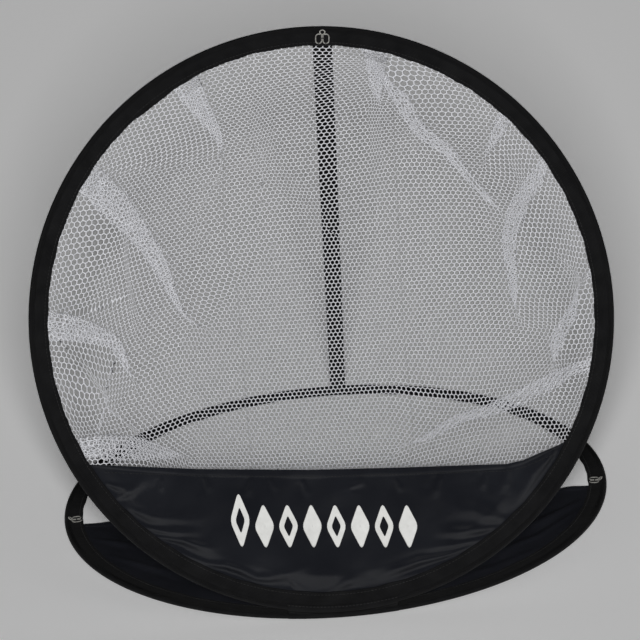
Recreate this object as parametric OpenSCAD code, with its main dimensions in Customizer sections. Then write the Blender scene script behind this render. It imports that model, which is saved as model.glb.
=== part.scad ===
// Pop-up golf chipping net, in millimetres.
// A base hoop lies flat on the ground. A target hoop of the same size leans back over its
// front edge on a sewn cloth hinge, and a rear strap stops it there. The target hoop holds a
// slack net pocket and, across its foot, the cloth lip that keeps the balls in.
// The origin is on the ground at the base hoop's centre, +Z is up and the mouth faces -Y.

/* [Hoops] */
// Outside diameter of each hoop, over its binding
hoop_d = 508; // [400:1:700]
// Width of the binding across the flat of a hoop
bind_w = 17; // [13:0.5:22]
// Thickness of the binding tape
tape_t = 0.7; // [0.5:0.1:1]
// Angle of the open target hoop above the ground
lean = 67; // [55:1:80]

/* [Spring steel] */
// Width of the spring steel strip, square to the flat of the hoop
steel_w = 2.4; // [1.6:0.1:3.4]
// Thickness of the spring steel strip
steel_t = 0.9; // [0.6:0.1:1.2]
// Gap between the two ends of a strip, inside its sleeve
steel_gap = 1; // [0.5:0.5:3]
// Length of the crimped sleeve that joins the ends of a strip
sleeve_l = 14; // [8:1:24]
// Wall of the crimped sleeve
sleeve_wall = 0.3; // [0.2:0.1:0.5]

/* [Net pocket] */
// Thickness of the knitted net
net_t = 0.6; // [0.4:0.1:0.8]
// Depth of the pocket behind the middle of the target hoop
pocket_depth = 92; // [50:1:120]
// How much deeper the pocket hangs at its foot, as a share of its depth
pocket_sag = 0.5; // [0.2:0.05:0.6]
// Height of the folds where slack net is gathered into the binding
fold_h = 7; // [2:0.5:10]

/* [Cloth panels] */
// Thickness of the nylon cloth
cloth_t = 0.4; // [0.3:0.1:0.6]
// Height of the lip, from the foot of the target hoop
lip_h = 124; // [80:1:150]
// Width of the turned hem along each free edge
hem_w = 7; // [5:0.5:12]
// How far the floor panel stops in front of the base hoop's centre
floor_back = 27; // [0:1:40]
// Height of the creases in the lip
crease_h = 1.5; // [0.5:0.1:2]

/* [Rear strap and hinge] */
// Width of the strap webbing
strap_w = 17; // [10:0.5:25]
// Thickness of the strap webbing
strap_t = 1.2; // [0.8:0.1:2]
// How far to the right of the middle the strap and the top hook are sewn to the target hoop
strap_top_x = 19; // [-30:0.5:30]
// How far to the right of the middle the strap is sewn to the base hoop
strap_foot_x = 10.5; // [-30:0.5:30]
// Length of the tape that hinges the two hoops
hinge_l = 96; // [60:1:120]

/* [Sewn wire hooks] */
// Thickness of the hook wire
wire_d = 1; // [0.8:0.1:1.2]
// Radius of a hook's sewing loops, to the middle of the wire
hook_loop_r = 2.6; // [2.2:0.1:2.8]
// Height of a hook's shank above the middle of its sewing loops
hook_shank = 5.4; // [4.5:0.1:6]
// Radius of the eye at the tip of a hook, to the middle of the wire
hook_eye_r = 2.2; // [1.8:0.1:2.4]
// Angle at which the eye is bent up off the cloth
hook_bend = 38; // [20:1:60]
// Angle at which each base hook sits in front of the hoop's widest place
hook_front = 5; // [-20:1:20]

/* [Hidden] */
$fn = 96;

// Clearances: between loose pieces, between sewn layers, and between the two moving bodies
fit = 0.1;
play = 0.2;
body_gap = 0.3;
// How far a cut runs past the face that it opens
cut_past = 1;

// The binding in section: a round nose over the steel, then two leaves sewn over the cloth
hoop_r = hoop_d / 2;
channel_w = steel_w + 2 * (sleeve_wall + fit);
channel_t = steel_t + 2 * (sleeve_wall + fit);
bind_t = channel_w + 2 * tape_t;
nose_r = bind_t / 2;
nose_w = nose_r + 2 * steel_w;
nose_taper = steel_w;
slit_w = net_t + cloth_t + 3 * play;
flange_t = slit_w + 2 * tape_t;
bind_in_r = hoop_r - bind_w;
steel_r = hoop_r - nose_r;
seam_r = steel_r - channel_t / 2 - 4 * play - tape_t;

// The hinge line, and the target hoop's own axes: X across, Y up its slope, Z out of its mouth
hinge_z = bind_t + body_gap;
hinge_y = -hoop_r + bind_t * sin(lean);
net_n = bind_t / 2 - slit_w / 2 + play + net_t / 2;
lip_n = bind_t / 2 + slit_w / 2 - play - cloth_t / 2;

// Sleeves and strip ends sit off to one side, at these angles from +X
base_joint_a = 35;
target_joint_a = 150;

module on_target() {
    translate([0, hinge_y, hinge_z]) rotate([lean, 0, 0]) children();
}

// Centre of the target hoop, at mid thickness
module at_target_centre() {
    on_target() translate([0, hoop_r, bind_t / 2]) children();
}

// ---- Hoops: spring steel, sleeve and binding, each about its own centre ----

module steel_strip(joint_a) {
    gap_a = steel_gap / steel_r * 180 / PI;
    color("silver")
    rotate([0, 0, joint_a + gap_a / 2])
    rotate_extrude(angle = 360 - gap_a, $fn = 180)
        translate([steel_r - steel_t / 2, -steel_w / 2]) square([steel_t, steel_w]);
}

module sleeve(joint_a) {
    sleeve_a = sleeve_l / steel_r * 180 / PI;
    slack = fit / 2;
    color("gainsboro")
    rotate([0, 0, joint_a - sleeve_a / 2])
    rotate_extrude(angle = sleeve_a, $fn = 180)
        translate([steel_r, 0])
        difference() {
            square([steel_t + 2 * sleeve_wall, steel_w + 2 * sleeve_wall], center = true);
            square([steel_t + 2 * slack, steel_w + 2 * slack], center = true);
        }
}

// Half of the binding's outline runs from the nose, down the taper, to the flange
module binding_section() {
    difference() {
        union() {
            translate([steel_r, 0]) circle(r = nose_r, $fn = 48);
            polygon([
                [steel_r, nose_r], [hoop_r - nose_w, nose_r],
                [hoop_r - nose_w - nose_taper, flange_t / 2], [bind_in_r, flange_t / 2],
                [bind_in_r, -flange_t / 2], [hoop_r - nose_w - nose_taper, -flange_t / 2],
                [hoop_r - nose_w, -nose_r], [steel_r, -nose_r]
            ]);
        }
        translate([steel_r, 0]) square([channel_t, channel_w], center = true);
        translate([bind_in_r - cut_past, -slit_w / 2])
            square([steel_r - bind_in_r + cut_past, slit_w]);
    }
}

module binding() {
    color([0.09, 0.09, 0.09])
    rotate_extrude($fn = 180) binding_section();
}

module base_steel() {
    translate([0, 0, bind_t / 2]) steel_strip(base_joint_a);
}

module base_sleeve() {
    translate([0, 0, bind_t / 2]) sleeve(base_joint_a);
}

module base_binding() {
    translate([0, 0, bind_t / 2]) binding();
}

module target_steel() {
    at_target_centre() steel_strip(target_joint_a);
}

module target_sleeve() {
    at_target_centre() sleeve(target_joint_a);
}

module target_binding() {
    at_target_centre() binding();
}

// ---- Floor panel: the front half of the base, with a hem along its straight back edge ----

module front_half(radius) {
    intersection() {
        circle(r = radius, $fn = 180);
        translate([-hoop_r, -hoop_r]) square([hoop_d, hoop_r - floor_back]);
    }
}

module floor_panel() {
    hem_t = 3 * cloth_t;
    hem_r = bind_in_r - play;
    color([0.11, 0.11, 0.13])
    translate([0, 0, bind_t / 2]) {
        translate([0, 0, -cloth_t / 2]) linear_extrude(cloth_t) front_half(seam_r);
        translate([0, 0, -hem_t / 2]) linear_extrude(hem_t)
            intersection() {
                front_half(hem_r);
                translate([-hoop_r, -floor_back - hem_w]) square([hoop_d, hem_w]);
            }
    }
}

// ---- Sheets: a thin closed solid from two grids of points, one t above the other ----

function flip(faces) = [for (f = faces) [f[0], f[2], f[1]]];
function shift(faces, k) = [for (f = faces) [f[0] + k, f[1] + k, f[2] + k]];

// ---- Lip: a creased cloth segment across the foot of the target hoop ----

lip_cols = 66;
// Rows of the lip between its hem and the binding, as shares of the way
lip_rows = [0.25, 0.5, 0.75, 1];
// The lip's ends stop a little short of where its hem would meet the seam
lip_end_a = 0.985 * acos((hoop_r - lip_h) / seam_r);
lip_edge_r = bind_in_r - play;
// The turned hem is three layers of cloth, and steps down to one over this length
hem_step = 0.4;
// At the ends the hem narrows to this share of the height that is left
hem_share = 0.4;
edge_under = 1;
crease_pitch_a = 4.6;
// The creases fan in from the binding on either side of the middle, about this angle
crease_fan_a = 30;
crease_fan_w = 15;
// Share of a crease's height that stays away from the fans, and what the fans add to it
crease_low = 0.35;
crease_fan_gain = 1.6;
// Share of the creases that has faded out at the middle of the lip
crease_fade = 0.75;
// How far the lip bellies out of the mouth, as a multiple of the crease height
belly = 2.5;
// The cloth is free to crease and belly this far in from the binding, as a multiple of its width
free_in = 1.4;

function lip_angle(i) = lip_end_a * (2 * i / lip_cols - 1);
function lip_foot(a) = [seam_r * sin(a), hoop_r - seam_r * cos(a)];
function lip_head(a) = [seam_r * sin(a), lip_h];
function radius_at(p) = norm([p[0], p[1] - hoop_r]);
// Rises from 0 at the binding to 1 well inside it
function inside(p) = max(0, min(1, (lip_edge_r - radius_at(p)) / (free_in * bind_w)));
function fan(a) = exp(-pow((abs(a) - crease_fan_a) / crease_fan_w, 2));
function wave(a) = 1 + (crease_low + crease_fan_gain * fan(a)) * cos(360 * a / crease_pitch_a);
function crease(p, a) = crease_h * inside(p) * (1 - crease_fade * inside(p)) * wave(a);
function belly_out(p) = belly * crease_h * pow(inside(p), 2) * cos(45 * p[0] / hoop_r);
function lip_half(p, hem) = cloth_t * (0.5 + (hem ? min(1, 4 * inside(p)) : 0));
function lip_point(p, a, half) = [p[0], p[1], lip_n + crease(p, a) + belly_out(p) + half];
// A column of the lip runs straight down from its hem to its seam, by way of the binding's edge
function lip_column(i) = let (
        a = lip_angle(i),
        x = lip_foot(a)[0],
        top = lip_h,
        foot = lip_foot(a)[1],
        // Height of the binding's edge here, or just under the hem where it lies above the hem
        rise = max(hoop_r - lip_h + edge_under, sqrt(max(0, pow(lip_edge_r, 2) - pow(x, 2)))),
        low = max(hoop_r - rise, foot + hem_step),
        hem = min(hem_w, hem_share * (top - low)),
        below = top - hem - hem_step
    ) concat(
        [[[x, top], a, true], [[x, top - hem], a, true], [[x, below], a, false]],
        [for (r = lip_rows) [[x, below - (below - low) * r], a, false]],
        [[[x, foot], a, false]]
    );
function lip_side(up) = [for (i = [0 : lip_cols]) for (c = lip_column(i))
    lip_point(c[0], c[1], up * lip_half(c[0], c[2]))];

// Faces of a grid of points that is `across` strips by `along` strips
function grid_faces(across, along) = [
    for (i = [0 : across - 1]) for (k = [0 : along - 1])
    let (p = i * (along + 1) + k, q = p + along + 1)
    each [[p, p + 1, q + 1], [p, q + 1, q]]
];

// Joins the rims of two grids whose points are numbered alike, n apart
function rim_faces(rim, n) = [
    for (i = [0 : len(rim) - 1])
    let (a = rim[i], b = rim[(i + 1) % len(rim)])
    each [[a, b, b + n], [a, b + n, a + n]]
];

module thin_sheet(top, bottom, faces, rim) {
    n = len(top);
    polyhedron(
        points = concat(top, bottom),
        faces = concat(faces, shift(flip(faces), n), rim_faces(rim, n)),
        convexity = 8
    );
}

module lip_panel() {
    along = len(lip_rows) + 3;
    rim = concat(
        [for (i = [0 : lip_cols]) i * (along + 1)],
        [for (k = [1 : along]) lip_cols * (along + 1) + k],
        [for (i = [lip_cols - 1 : -1 : 0]) i * (along + 1) + along],
        [for (k = [along - 1 : -1 : 1]) k]
    );
    color([0.11, 0.11, 0.14])
    on_target()
        thin_sheet(lip_side(1), lip_side(-1), grid_faces(lip_cols, along), rim);
}

// ---- Net pocket: slack net sewn all round the target hoop, hanging back in folds ----

net_spokes = 72;
// The pocket is flat up to this far inside the binding, so that it hangs clear of the slit
net_edge = 0.5;
// Rings of the pocket inside the binding, as shares of its clear radius
net_rings = [1, 0.965, 0.87, 0.73, 0.57, 0.4, 0.2];
net_r = bind_in_r - net_edge;
// The main folds, in degrees clockwise from the top of the hoop, seen from the front
fold_at = [-122, -86, -57, -28, 9, 39, 55, 81, 103];
fold_spread = 7;

function turn_from(a, b) = abs(((a - b + 540) % 360) - 180);
function folds(a) = max([for (f = fold_at) exp(-pow(turn_from(a, f) / fold_spread, 2))]);
function pocket(q, a) = -pocket_depth * (1 - q * q) * (1 - pocket_sag * q * cos(a));
// Nothing at the binding or near the middle, and 1 about four fifths of the way out
function ripple(q) = pow(q, 4) * (1 - q * q) * 27 / 4;
function gathered(q, a) = fold_h * folds(a) * ripple(q);
function net_point(q, a, half) =
    [net_r * q * sin(a), hoop_r + net_r * q * cos(a), net_n + pocket(q, a) + gathered(q, a) + half];
function seam_point(a, half) = [seam_r * sin(a), hoop_r + seam_r * cos(a), net_n + half];
function net_side(half) = concat(
    [for (i = [0 : net_spokes - 1]) seam_point(360 * i / net_spokes, half)],
    [for (q = net_rings) for (i = [0 : net_spokes - 1]) net_point(q, 360 * i / net_spokes, half)],
    [net_point(0, 0, half)]
);

module net_pocket() {
    rings = len(net_rings) + 1;
    middle = rings * net_spokes;
    bands = [
        for (k = [0 : rings - 2]) for (i = [0 : net_spokes - 1])
        let (
            a = k * net_spokes + i,
            b = k * net_spokes + (i + 1) % net_spokes
        )
        each [[a, b, b + net_spokes], [a, b + net_spokes, a + net_spokes]]
    ];
    fan_in = [
        for (i = [0 : net_spokes - 1])
        [middle - net_spokes + i, middle - net_spokes + (i + 1) % net_spokes, middle]
    ];
    rim = [for (i = [net_spokes - 1 : -1 : 0]) i];
    color([0.92, 0.93, 0.95])
    on_target()
        thin_sheet(net_side(net_t / 2), net_side(-net_t / 2), concat(bands, fan_in), rim);
}

// ---- Rear strap: from the back of the target hoop's top to the rear of the base ----

// The strap's outer corners stay on both hoops, so its ends draw in as it moves off the middle
strap_corner = max(abs(strap_top_x), abs(strap_foot_x)) + strap_w / 2;
strap_end = nose_r + hoop_r - sqrt(pow(hoop_r, 2) - pow(strap_corner, 2));
strap_lap = bind_w - 2 * nose_r;

// A point on the target hoop's slope, in the side view: Y then Z
function side(s, n) = [hinge_y + s * cos(lean) - n * sin(lean), hinge_z + s * sin(lean) + n * cos(lean)];

module rear_strap() {
    back_n = -body_gap - strap_t / 2;
    top_end = side(hoop_d - strap_end, back_n);
    top_bend = side(hoop_d - strap_end - strap_lap, back_n);
    rest_z = bind_t + fit + strap_t / 2;
    foot_bend = [hoop_r - strap_end - strap_lap, rest_z];
    foot_end = [hoop_r - strap_end, rest_z];
    slant = (strap_top_x - strap_foot_x) / (top_end[1] - rest_z);
    color([0.08, 0.08, 0.08])
    multmatrix([[1, 0, slant, strap_foot_x - slant * rest_z], [0, 1, 0, 0], [0, 0, 1, 0]])
        ribbon([top_end, top_bend, foot_bend, foot_end], strap_w, strap_t);
}

// A point half a thickness to the left of a path's corner, on the mitre of its two runs
function mitred(path, i, half) = let (
        a = path[i] - path[max(i - 1, 0)],
        b = path[min(i + 1, len(path) - 1)] - path[i],
        u = norm(a) > 0 ? a / norm(a) : b / norm(b),
        v = norm(b) > 0 ? b / norm(b) : u,
        m = u + v
    ) path[i] + half * 2 / (m * m) * [-m[1], m[0]];

// A flat ribbon along straight runs in the side view
module ribbon(path, width, thick) {
    left = [for (i = [0 : len(path) - 1]) mitred(path, i, thick / 2)];
    right = [for (i = [len(path) - 1 : -1 : 0]) mitred(path, i, -thick / 2)];
    rotate([90, 0, 90]) translate([0, 0, -width / 2])
        linear_extrude(width) polygon(concat(left, right));
}

// ---- Hinge tape: laps the outside of both bindings where the hoops meet ----

hinge_cols = 16;
hinge_t = tape_t;
// How far the tape laps onto the front of the target binding, past its nose
hinge_lap = 3;

// Angles round each nose at which the tape's section has a point
base_nose_a = [205, 180, 155, 130];
target_nose_a = [184, 160, 136, 112, 90];

// The tape's section at a distance x from the middle: up the base's nose, then round the
// target's nose and onto its front
function hinge_edge(x, out) = let (
        back = hoop_r - sqrt(hoop_r * hoop_r - x * x),
        r = nose_r + fit + out,
        base_y = back - steel_r,
        target_s = nose_r + back
    ) concat(
        [for (a = base_nose_a) [x, base_y + r * cos(a), bind_t / 2 + r * sin(a)]],
        [for (a = target_nose_a)
            let (p = side(target_s + r * cos(a), nose_r + r * sin(a)))
            [x, p[0], p[1]]],
        [let (p = side(target_s + hinge_lap, nose_r + r)) [x, p[0], p[1]]]
    );

module hinge_tape() {
    sections = [for (i = [0 : hinge_cols]) hinge_l * (i / hinge_cols - 0.5)];
    along = len(hinge_edge(0, 0)) - 1;
    outer = [for (x = sections) each hinge_edge(x, hinge_t)];
    inner = [for (x = sections) each hinge_edge(x, 0)];
    rim = concat(
        [for (i = [0 : hinge_cols]) i * (along + 1)],
        [for (k = [1 : along]) hinge_cols * (along + 1) + k],
        [for (i = [hinge_cols - 1 : -1 : 0]) i * (along + 1) + along],
        [for (k = [along - 1 : -1 : 1]) k]
    );
    color([0.07, 0.07, 0.07])
        thin_sheet(outer, inner, grid_faces(hinge_cols, along), rim);
}

// ---- Sewn wire hooks: one wire bent into two sewing loops, a shank and an eye ----

wire_r = wire_d / 2;
// Each sewing loop ends in a short straight arm and a curl back towards the shank
arm_share = 0.55;
curl_a = 125;
// The shank is drawn a little thinner, so that its ends sink cleanly into the eye
shank_r = 0.94 * wire_r;

// A stretch of wire bent to radius r from angle a0 to a1, about a point
module bend(at, r, a0, a1) {
    translate([at[0], at[1], 0]) rotate([0, 0, a0])
        rotate_extrude(angle = a1 - a0, $fn = 48) translate([r, 0]) circle(r = wire_r, $fn = 24);
}

// A stretch of wire of radius r straight up from a point
module straight(at, length, r) {
    translate([at[0], at[1], 0]) rotate([-90, 0, 0]) cylinder(r = r, h = length, $fn = 24);
}

// The hook lies in its own XY plane with its foot at the origin and its eye towards +Y
module hook() {
    loop_x = hook_loop_r + wire_r + fit / 2;
    loop_y = hook_loop_r + wire_r;
    shank_x = loop_x - hook_loop_r;
    arm_l = arm_share * hook_shank;
    // The shank stops inside the eye's wire
    shank_l = hook_shank - 0.3 * wire_r;
    color("darkgray")
    translate([0, 0, wire_r]) {
        for (half = [0, 1]) mirror([half, 0, 0]) {
            bend([loop_x, loop_y], hook_loop_r, 180, 360);
            straight([loop_x + hook_loop_r, loop_y], arm_l, wire_r);
            bend([loop_x, loop_y + arm_l], hook_loop_r, 0, curl_a);
            straight([shank_x, loop_y], shank_l, shank_r);
        }
        translate([0, loop_y + hook_shank, 0]) rotate([hook_bend, 0, 0])
            translate([0, sqrt(pow(hook_eye_r, 2) - pow(shank_x, 2)), 0])
            rotate_extrude($fn = 48) translate([hook_eye_r, 0]) circle(r = wire_r, $fn = 24);
    }
}

// How far a hook's foot stands in from the edge of its hoop
hook_in_r = hoop_r - bind_w + wire_d;

module base_hook(turn) {
    rotate([0, 0, turn]) translate([0, hook_in_r, bind_t + fit]) hook();
}

module left_hook() {
    base_hook(90 + hook_front);
}

module right_hook() {
    base_hook(-90 - hook_front);
}

module top_hook() {
    on_target() translate([0, hoop_r, bind_t + fit])
        rotate([0, 0, -asin(strap_top_x / hook_in_r)]) translate([0, hook_in_r, 0]) hook();
}

base_steel();
base_sleeve();
base_binding();
floor_panel();
left_hook();
right_hook();
rear_strap();
hinge_tape();
target_steel();
target_sleeve();
target_binding();
lip_panel();
net_pocket();
top_hook();
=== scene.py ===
# %% [markdown]
# # A pop-up golf chipping net
# Two equal spring-steel hoops in black cloth tape are sewn together at the front. One lies on the
# ground. The other leans back over it and holds a slack white net, and a black nylon lip across
# its foot keeps the balls in. The frame of exact parts comes first, and every piece made here is
# in metres, in that frame: Z is up and the mouth faces -Y.

import math

import bpy
import numpy as np
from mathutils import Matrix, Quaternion, Vector
from mathutils.bvhtree import BVHTree


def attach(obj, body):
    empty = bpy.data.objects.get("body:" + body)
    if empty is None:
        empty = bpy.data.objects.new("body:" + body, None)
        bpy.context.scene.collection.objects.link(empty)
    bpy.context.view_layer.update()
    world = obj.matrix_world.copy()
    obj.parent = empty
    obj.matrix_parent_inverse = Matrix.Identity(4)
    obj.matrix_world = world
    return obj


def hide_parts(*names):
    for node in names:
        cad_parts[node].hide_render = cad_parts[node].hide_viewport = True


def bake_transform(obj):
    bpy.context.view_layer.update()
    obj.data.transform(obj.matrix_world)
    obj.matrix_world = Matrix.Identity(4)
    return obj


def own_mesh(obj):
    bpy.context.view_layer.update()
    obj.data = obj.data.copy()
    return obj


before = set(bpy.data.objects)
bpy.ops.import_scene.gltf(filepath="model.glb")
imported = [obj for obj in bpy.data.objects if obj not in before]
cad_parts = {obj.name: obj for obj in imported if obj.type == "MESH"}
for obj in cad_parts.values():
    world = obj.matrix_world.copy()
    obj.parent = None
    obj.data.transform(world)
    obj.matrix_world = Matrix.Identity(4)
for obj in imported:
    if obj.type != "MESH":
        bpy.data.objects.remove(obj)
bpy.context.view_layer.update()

# %% [markdown]
# ## The camera
# A long lens from almost three metres away, 22 degrees above the ground, looks nearly square onto
# the leaning hoop. It is turned a few degrees about its own axis, so the net stands a little
# askew in the picture. A short lens close by would show the same view, but it would swell the near
# side of the hoop, and a long one keeps the hoop round.

# %% Place the camera
aim = Vector((-0.0014, -0.035, 0.1913))
azimuth, elevation, roll = math.radians(0.13), math.radians(21.67), math.radians(4.4)
camera_distance = 2.95
lens_length, sensor_width = 183.1, 36
backward = Vector(
    (
        math.sin(azimuth) * math.cos(elevation),
        -math.cos(azimuth) * math.cos(elevation),
        math.sin(elevation),
    )
)
camera = bpy.data.objects.new("camera", bpy.data.cameras.new("camera"))
camera.data.lens = lens_length
camera.data.sensor_width = sensor_width
camera.location = aim + backward * camera_distance
camera.rotation_mode = "QUATERNION"
camera.rotation_quaternion = (-backward).to_track_quat("-Z", "Y") @ Quaternion((0, 0, 1), -roll)
scene = bpy.context.scene
scene.collection.objects.link(camera)
scene.camera = camera
scene.view_settings.view_transform = "Standard"
print("camera at", [round(v, 3) for v in camera.location])

# %% [markdown]
# ## Sizes that the pieces share
# The sizes repeat those of the exact parts. The leaning hoop has axes of its own: x across, s up
# its slope from the foot of the hoop, and n out of the mouth, square to the hoop.

# %% Sizes and the leaning hoop's axes
mm = 0.001
hoop_r = 254 * mm
binding_in_r = 237 * mm
binding_t = 4.6 * mm
lean = math.radians(67)
# The hinge line, as in the exact parts
hinge_y, hinge_z = round(binding_t * math.sin(lean) - hoop_r, 7), 4.9 * mm
up_slope = np.array([0, math.cos(lean), math.sin(lean)])
out_of_mouth = np.array([0, -math.sin(lean), math.cos(lean)])


def on_target(x, s, n):
    """World points of places on the leaning hoop, from arrays of x, s and n."""
    x, s, n = np.broadcast_arrays(x, s, n)
    points = np.stack([x, np.full(x.shape, hinge_y), np.full(x.shape, hinge_z)], -1)
    return points + s[..., None] * up_slope + n[..., None] * out_of_mouth


def on_base(x, y, z):
    """World points of places on the base, from arrays of x, y and z."""
    x, y, z = np.broadcast_arrays(x, y, z)
    return np.stack([x, y, z], -1)


print("top of the leaning hoop:", on_target(0, 2 * hoop_r, 0).round(3))

# %% [markdown]
# ## Building meshes from numbers
# Cloth, tape and net are all grids or rows of points, so a few helpers turn arrays of points into
# meshes. Faces could also be added one at a time, but that is slow for half a million of them.
# Each piece can have a map (UV) in metres, so that a weave has its real scale.


# %% Turn arrays into a mesh
def mesh_piece(name, points, faces, finish, uv=None):
    """An object from an array of points and a list of face arrays, one array per face size."""
    faces = [np.asarray(f, np.int32).reshape(-1, f.shape[-1]) for f in faces if len(f)]
    sizes = np.concatenate([np.full(len(f), f.shape[1], np.int32) for f in faces])
    corners = np.concatenate([f.ravel() for f in faces])
    mesh = bpy.data.meshes.new(name)
    mesh.vertices.add(len(points))
    mesh.vertices.foreach_set("co", np.asarray(points, np.float32).ravel())
    mesh.loops.add(len(corners))
    mesh.loops.foreach_set("vertex_index", corners)
    mesh.polygons.add(len(sizes))
    mesh.polygons.foreach_set("loop_start", (np.cumsum(sizes) - sizes).astype(np.int32))
    mesh.polygons.foreach_set("use_smooth", np.full(len(sizes), True))
    if uv is not None:
        layer = mesh.uv_layers.new(name="cloth")
        layer.data.foreach_set("uv", np.asarray(uv, np.float32)[corners].ravel())
    mesh.update(calc_edges=True)
    mesh.validate()
    made = bpy.data.objects.new(name, mesh)
    scene.collection.objects.link(made)
    if finish:
        mesh.materials.append(finish)
    return made


def grid_faces(rows, columns, closed=False, start=0):
    """Four-sided faces of a grid of points; closed joins the last row to the first."""
    r = np.arange(rows if closed else rows - 1)
    c = np.arange(columns - 1)
    r, c = np.meshgrid(r, c, indexing="ij")
    a = r * columns + c
    b = (r + 1) % rows * columns + c
    return start + np.stack([a, b, b + 1, a + 1], -1).reshape(-1, 4)


print("faces between 3 rows of 4 points:", len(grid_faces(3, 4)))

# %% [markdown]
# A sheet of cloth has two faces and cut edges all round. A Solidify modifier could thicken a single
# face, but a grid moved half the thickness each way lets the thickness change, as it does in a hem.


# %% Give cloth its thickness
def grid_normals(grid):
    """The direction square to a grid of points, at each point."""
    across = np.gradient(grid, axis=0)
    along = np.gradient(grid, axis=1)
    normal = np.cross(across, along)
    return normal / np.maximum(np.linalg.norm(normal, axis=-1, keepdims=True), 1e-12)


def cloth_piece(name, middle, uv, thickness, finish):
    """A closed sheet of cloth about a grid of points, with its cut edges closed."""
    rows, columns = middle.shape[:2]
    normal = grid_normals(middle)
    half = np.asarray(thickness)[..., None] / 2 if np.ndim(thickness) else thickness / 2
    top, bottom = middle + normal * half, middle - normal * half
    n = rows * columns
    index = np.arange(n).reshape(rows, columns)
    rim = np.concatenate([index[:, 0], index[-1, 1:], index[-2::-1, -1], index[0, -2:0:-1]])
    after = np.roll(rim, -1)
    edge = np.stack([rim, rim + n, after + n, after], -1)
    faces = [grid_faces(rows, columns), grid_faces(rows, columns)[:, ::-1] + n, edge]
    points = np.concatenate([top.reshape(-1, 3), bottom.reshape(-1, 3)])
    return mesh_piece(name, points, faces, finish, np.tile(uv.reshape(-1, 2), (2, 1)))


up_from_flat = grid_normals(np.stack([*np.mgrid[0:3, 0:3], np.zeros((3, 3))], -1))[1, 1]
print("direction square to a flat grid:", up_from_flat)

# %% [markdown]
# ## Finishes
# Every finish is made of nodes, and none uses a picture. Threads, ribs and weave are a height that
# the bump node turns into light and shade, and slow noise changes the colour a little, as dye, dust
# and wear do. Amounts that are the same all over stand on the shader itself.


# %% Make finishes and nodes
def new_finish(name, **amounts):
    """A material, its node tree and its shader, with amounts that are the same all over."""
    material = bpy.data.materials.new(name)
    material.use_nodes = True
    shader = material.node_tree.nodes["Principled BSDF"]
    for socket, value in amounts.items():
        shader.inputs[socket.replace("_", " ")].default_value = value
    return material, material.node_tree, shader


def add_node(tree, kind, inputs=None, **settings):
    """A node with its settings and inputs; an input that is a socket gets a link."""
    made = tree.nodes.new("ShaderNode" + kind)
    for key, value in settings.items():
        setattr(made, key, value)
    for key, value in (inputs or {}).items():
        if isinstance(value, bpy.types.NodeSocket):
            tree.links.new(value, made.inputs[key])
        else:
            made.inputs[key].default_value = value
    return made


def maths(tree, operation, a, b=0.0):
    """The result of one Math node on a and b."""
    return add_node(tree, "Math", {0: a, 1: b}, operation=operation).outputs[0]


print("finishes so far:", len(bpy.data.materials))

# %% [markdown]
# Three patterns are shared: a piece's own map, threads laid side by side, and slow noise. Raw noise
# keeps to the middle of its range, so it is stretched to run from one chosen amount to another.

# %% Patterns, colour and height
noise_low, noise_high = 0.3, 0.7


def cloth_map(tree):
    """The along and across sockets of a piece's own map, in metres, and the whole vector."""
    place = add_node(tree, "TexCoord").outputs["UV"]
    parts = add_node(tree, "SeparateXYZ", {0: place})
    return parts.outputs[0], parts.outputs[1], place


def threads(tree, along, pitch):
    """A height from 0 to 1 that rises once every pitch, as threads laid side by side do."""
    turns = maths(tree, "MULTIPLY", along, math.tau / pitch)
    return maths(tree, "MULTIPLY_ADD", maths(tree, "SINE", turns), 0.5)


def mottle(tree, place, scale, low, high, detail=4.0):
    """Slow noise, stretched to run from low to high."""
    noise = add_node(tree, "TexNoise", {"Vector": place, "Scale": scale, "Detail": detail})
    spread = {0: noise.outputs[0], 1: noise_low, 2: noise_high, 3: low, 4: high}
    return add_node(tree, "MapRange", spread).outputs[0]


def shade_between(tree, amount, dark, light):
    """A colour that runs from dark to light as amount runs from 0 to 1."""
    mix = add_node(tree, "Mix", {"Factor": amount}, data_type="RGBA")
    mix.inputs["A"].default_value = (*dark, 1)
    mix.inputs["B"].default_value = (*light, 1)
    return mix.outputs["Result"]


def raise_surface(tree, shader, height, depth, strength=1.0):
    """Let a height from 0 to 1 stand for a relief of depth metres."""
    bump = add_node(tree, "Bump", {"Height": height, "Distance": depth, "Strength": strength})
    tree.links.new(bump.outputs[0], shader.inputs["Normal"])


print("noise between", noise_low, "and", noise_high, "is stretched to the amounts asked for")

# %% [markdown]
# Binding tape is a ribbed polyester ribbon: fine ribs run along it, crossed by finer threads.
# Webbing is the same idea, coarser. Both are nearly black and matt, with a faint sheen. The ribs
# are too small to model one by one, so two rows of threads give a height for the light.

# %% Tape and webbing
# A scale is how many patches of noise fit in a metre; roughness runs between two amounts
wear_scale, dullness_scale = 60, 25
matt = (0.6, 0.75)
pick_share = 0.35


def ribbed_cloth(name, rib, pick, depth, dark, light):
    """Ribs along the cloth every rib metres, crossed by threads every pick metres."""
    material, tree, shader = new_finish(name, Specular_IOR_Level=0.12, Sheen_Weight=0.02)
    along, across, place = cloth_map(tree)
    ribs = threads(tree, across, rib)
    picks = threads(tree, along, pick)
    height = maths(tree, "MULTIPLY_ADD", picks, pick_share)
    tree.links.new(ribs, height.node.inputs[2])
    wear = mottle(tree, place, wear_scale, 0.0, 1.0)
    # The colour is random wear, and is also darker between the ribs and paler on their crests: painted
    # shade.
    wear_and_rib_shade = maths(tree, "MULTIPLY", maths(tree, "ADD", wear, ribs), 0.5)
    tree.links.new(shade_between(tree, wear_and_rib_shade, dark, light), shader.inputs["Base Color"])
    tree.links.new(mottle(tree, place, dullness_scale, *matt), shader.inputs["Roughness"])
    raise_surface(tree, shader, height, depth)
    return material


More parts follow.
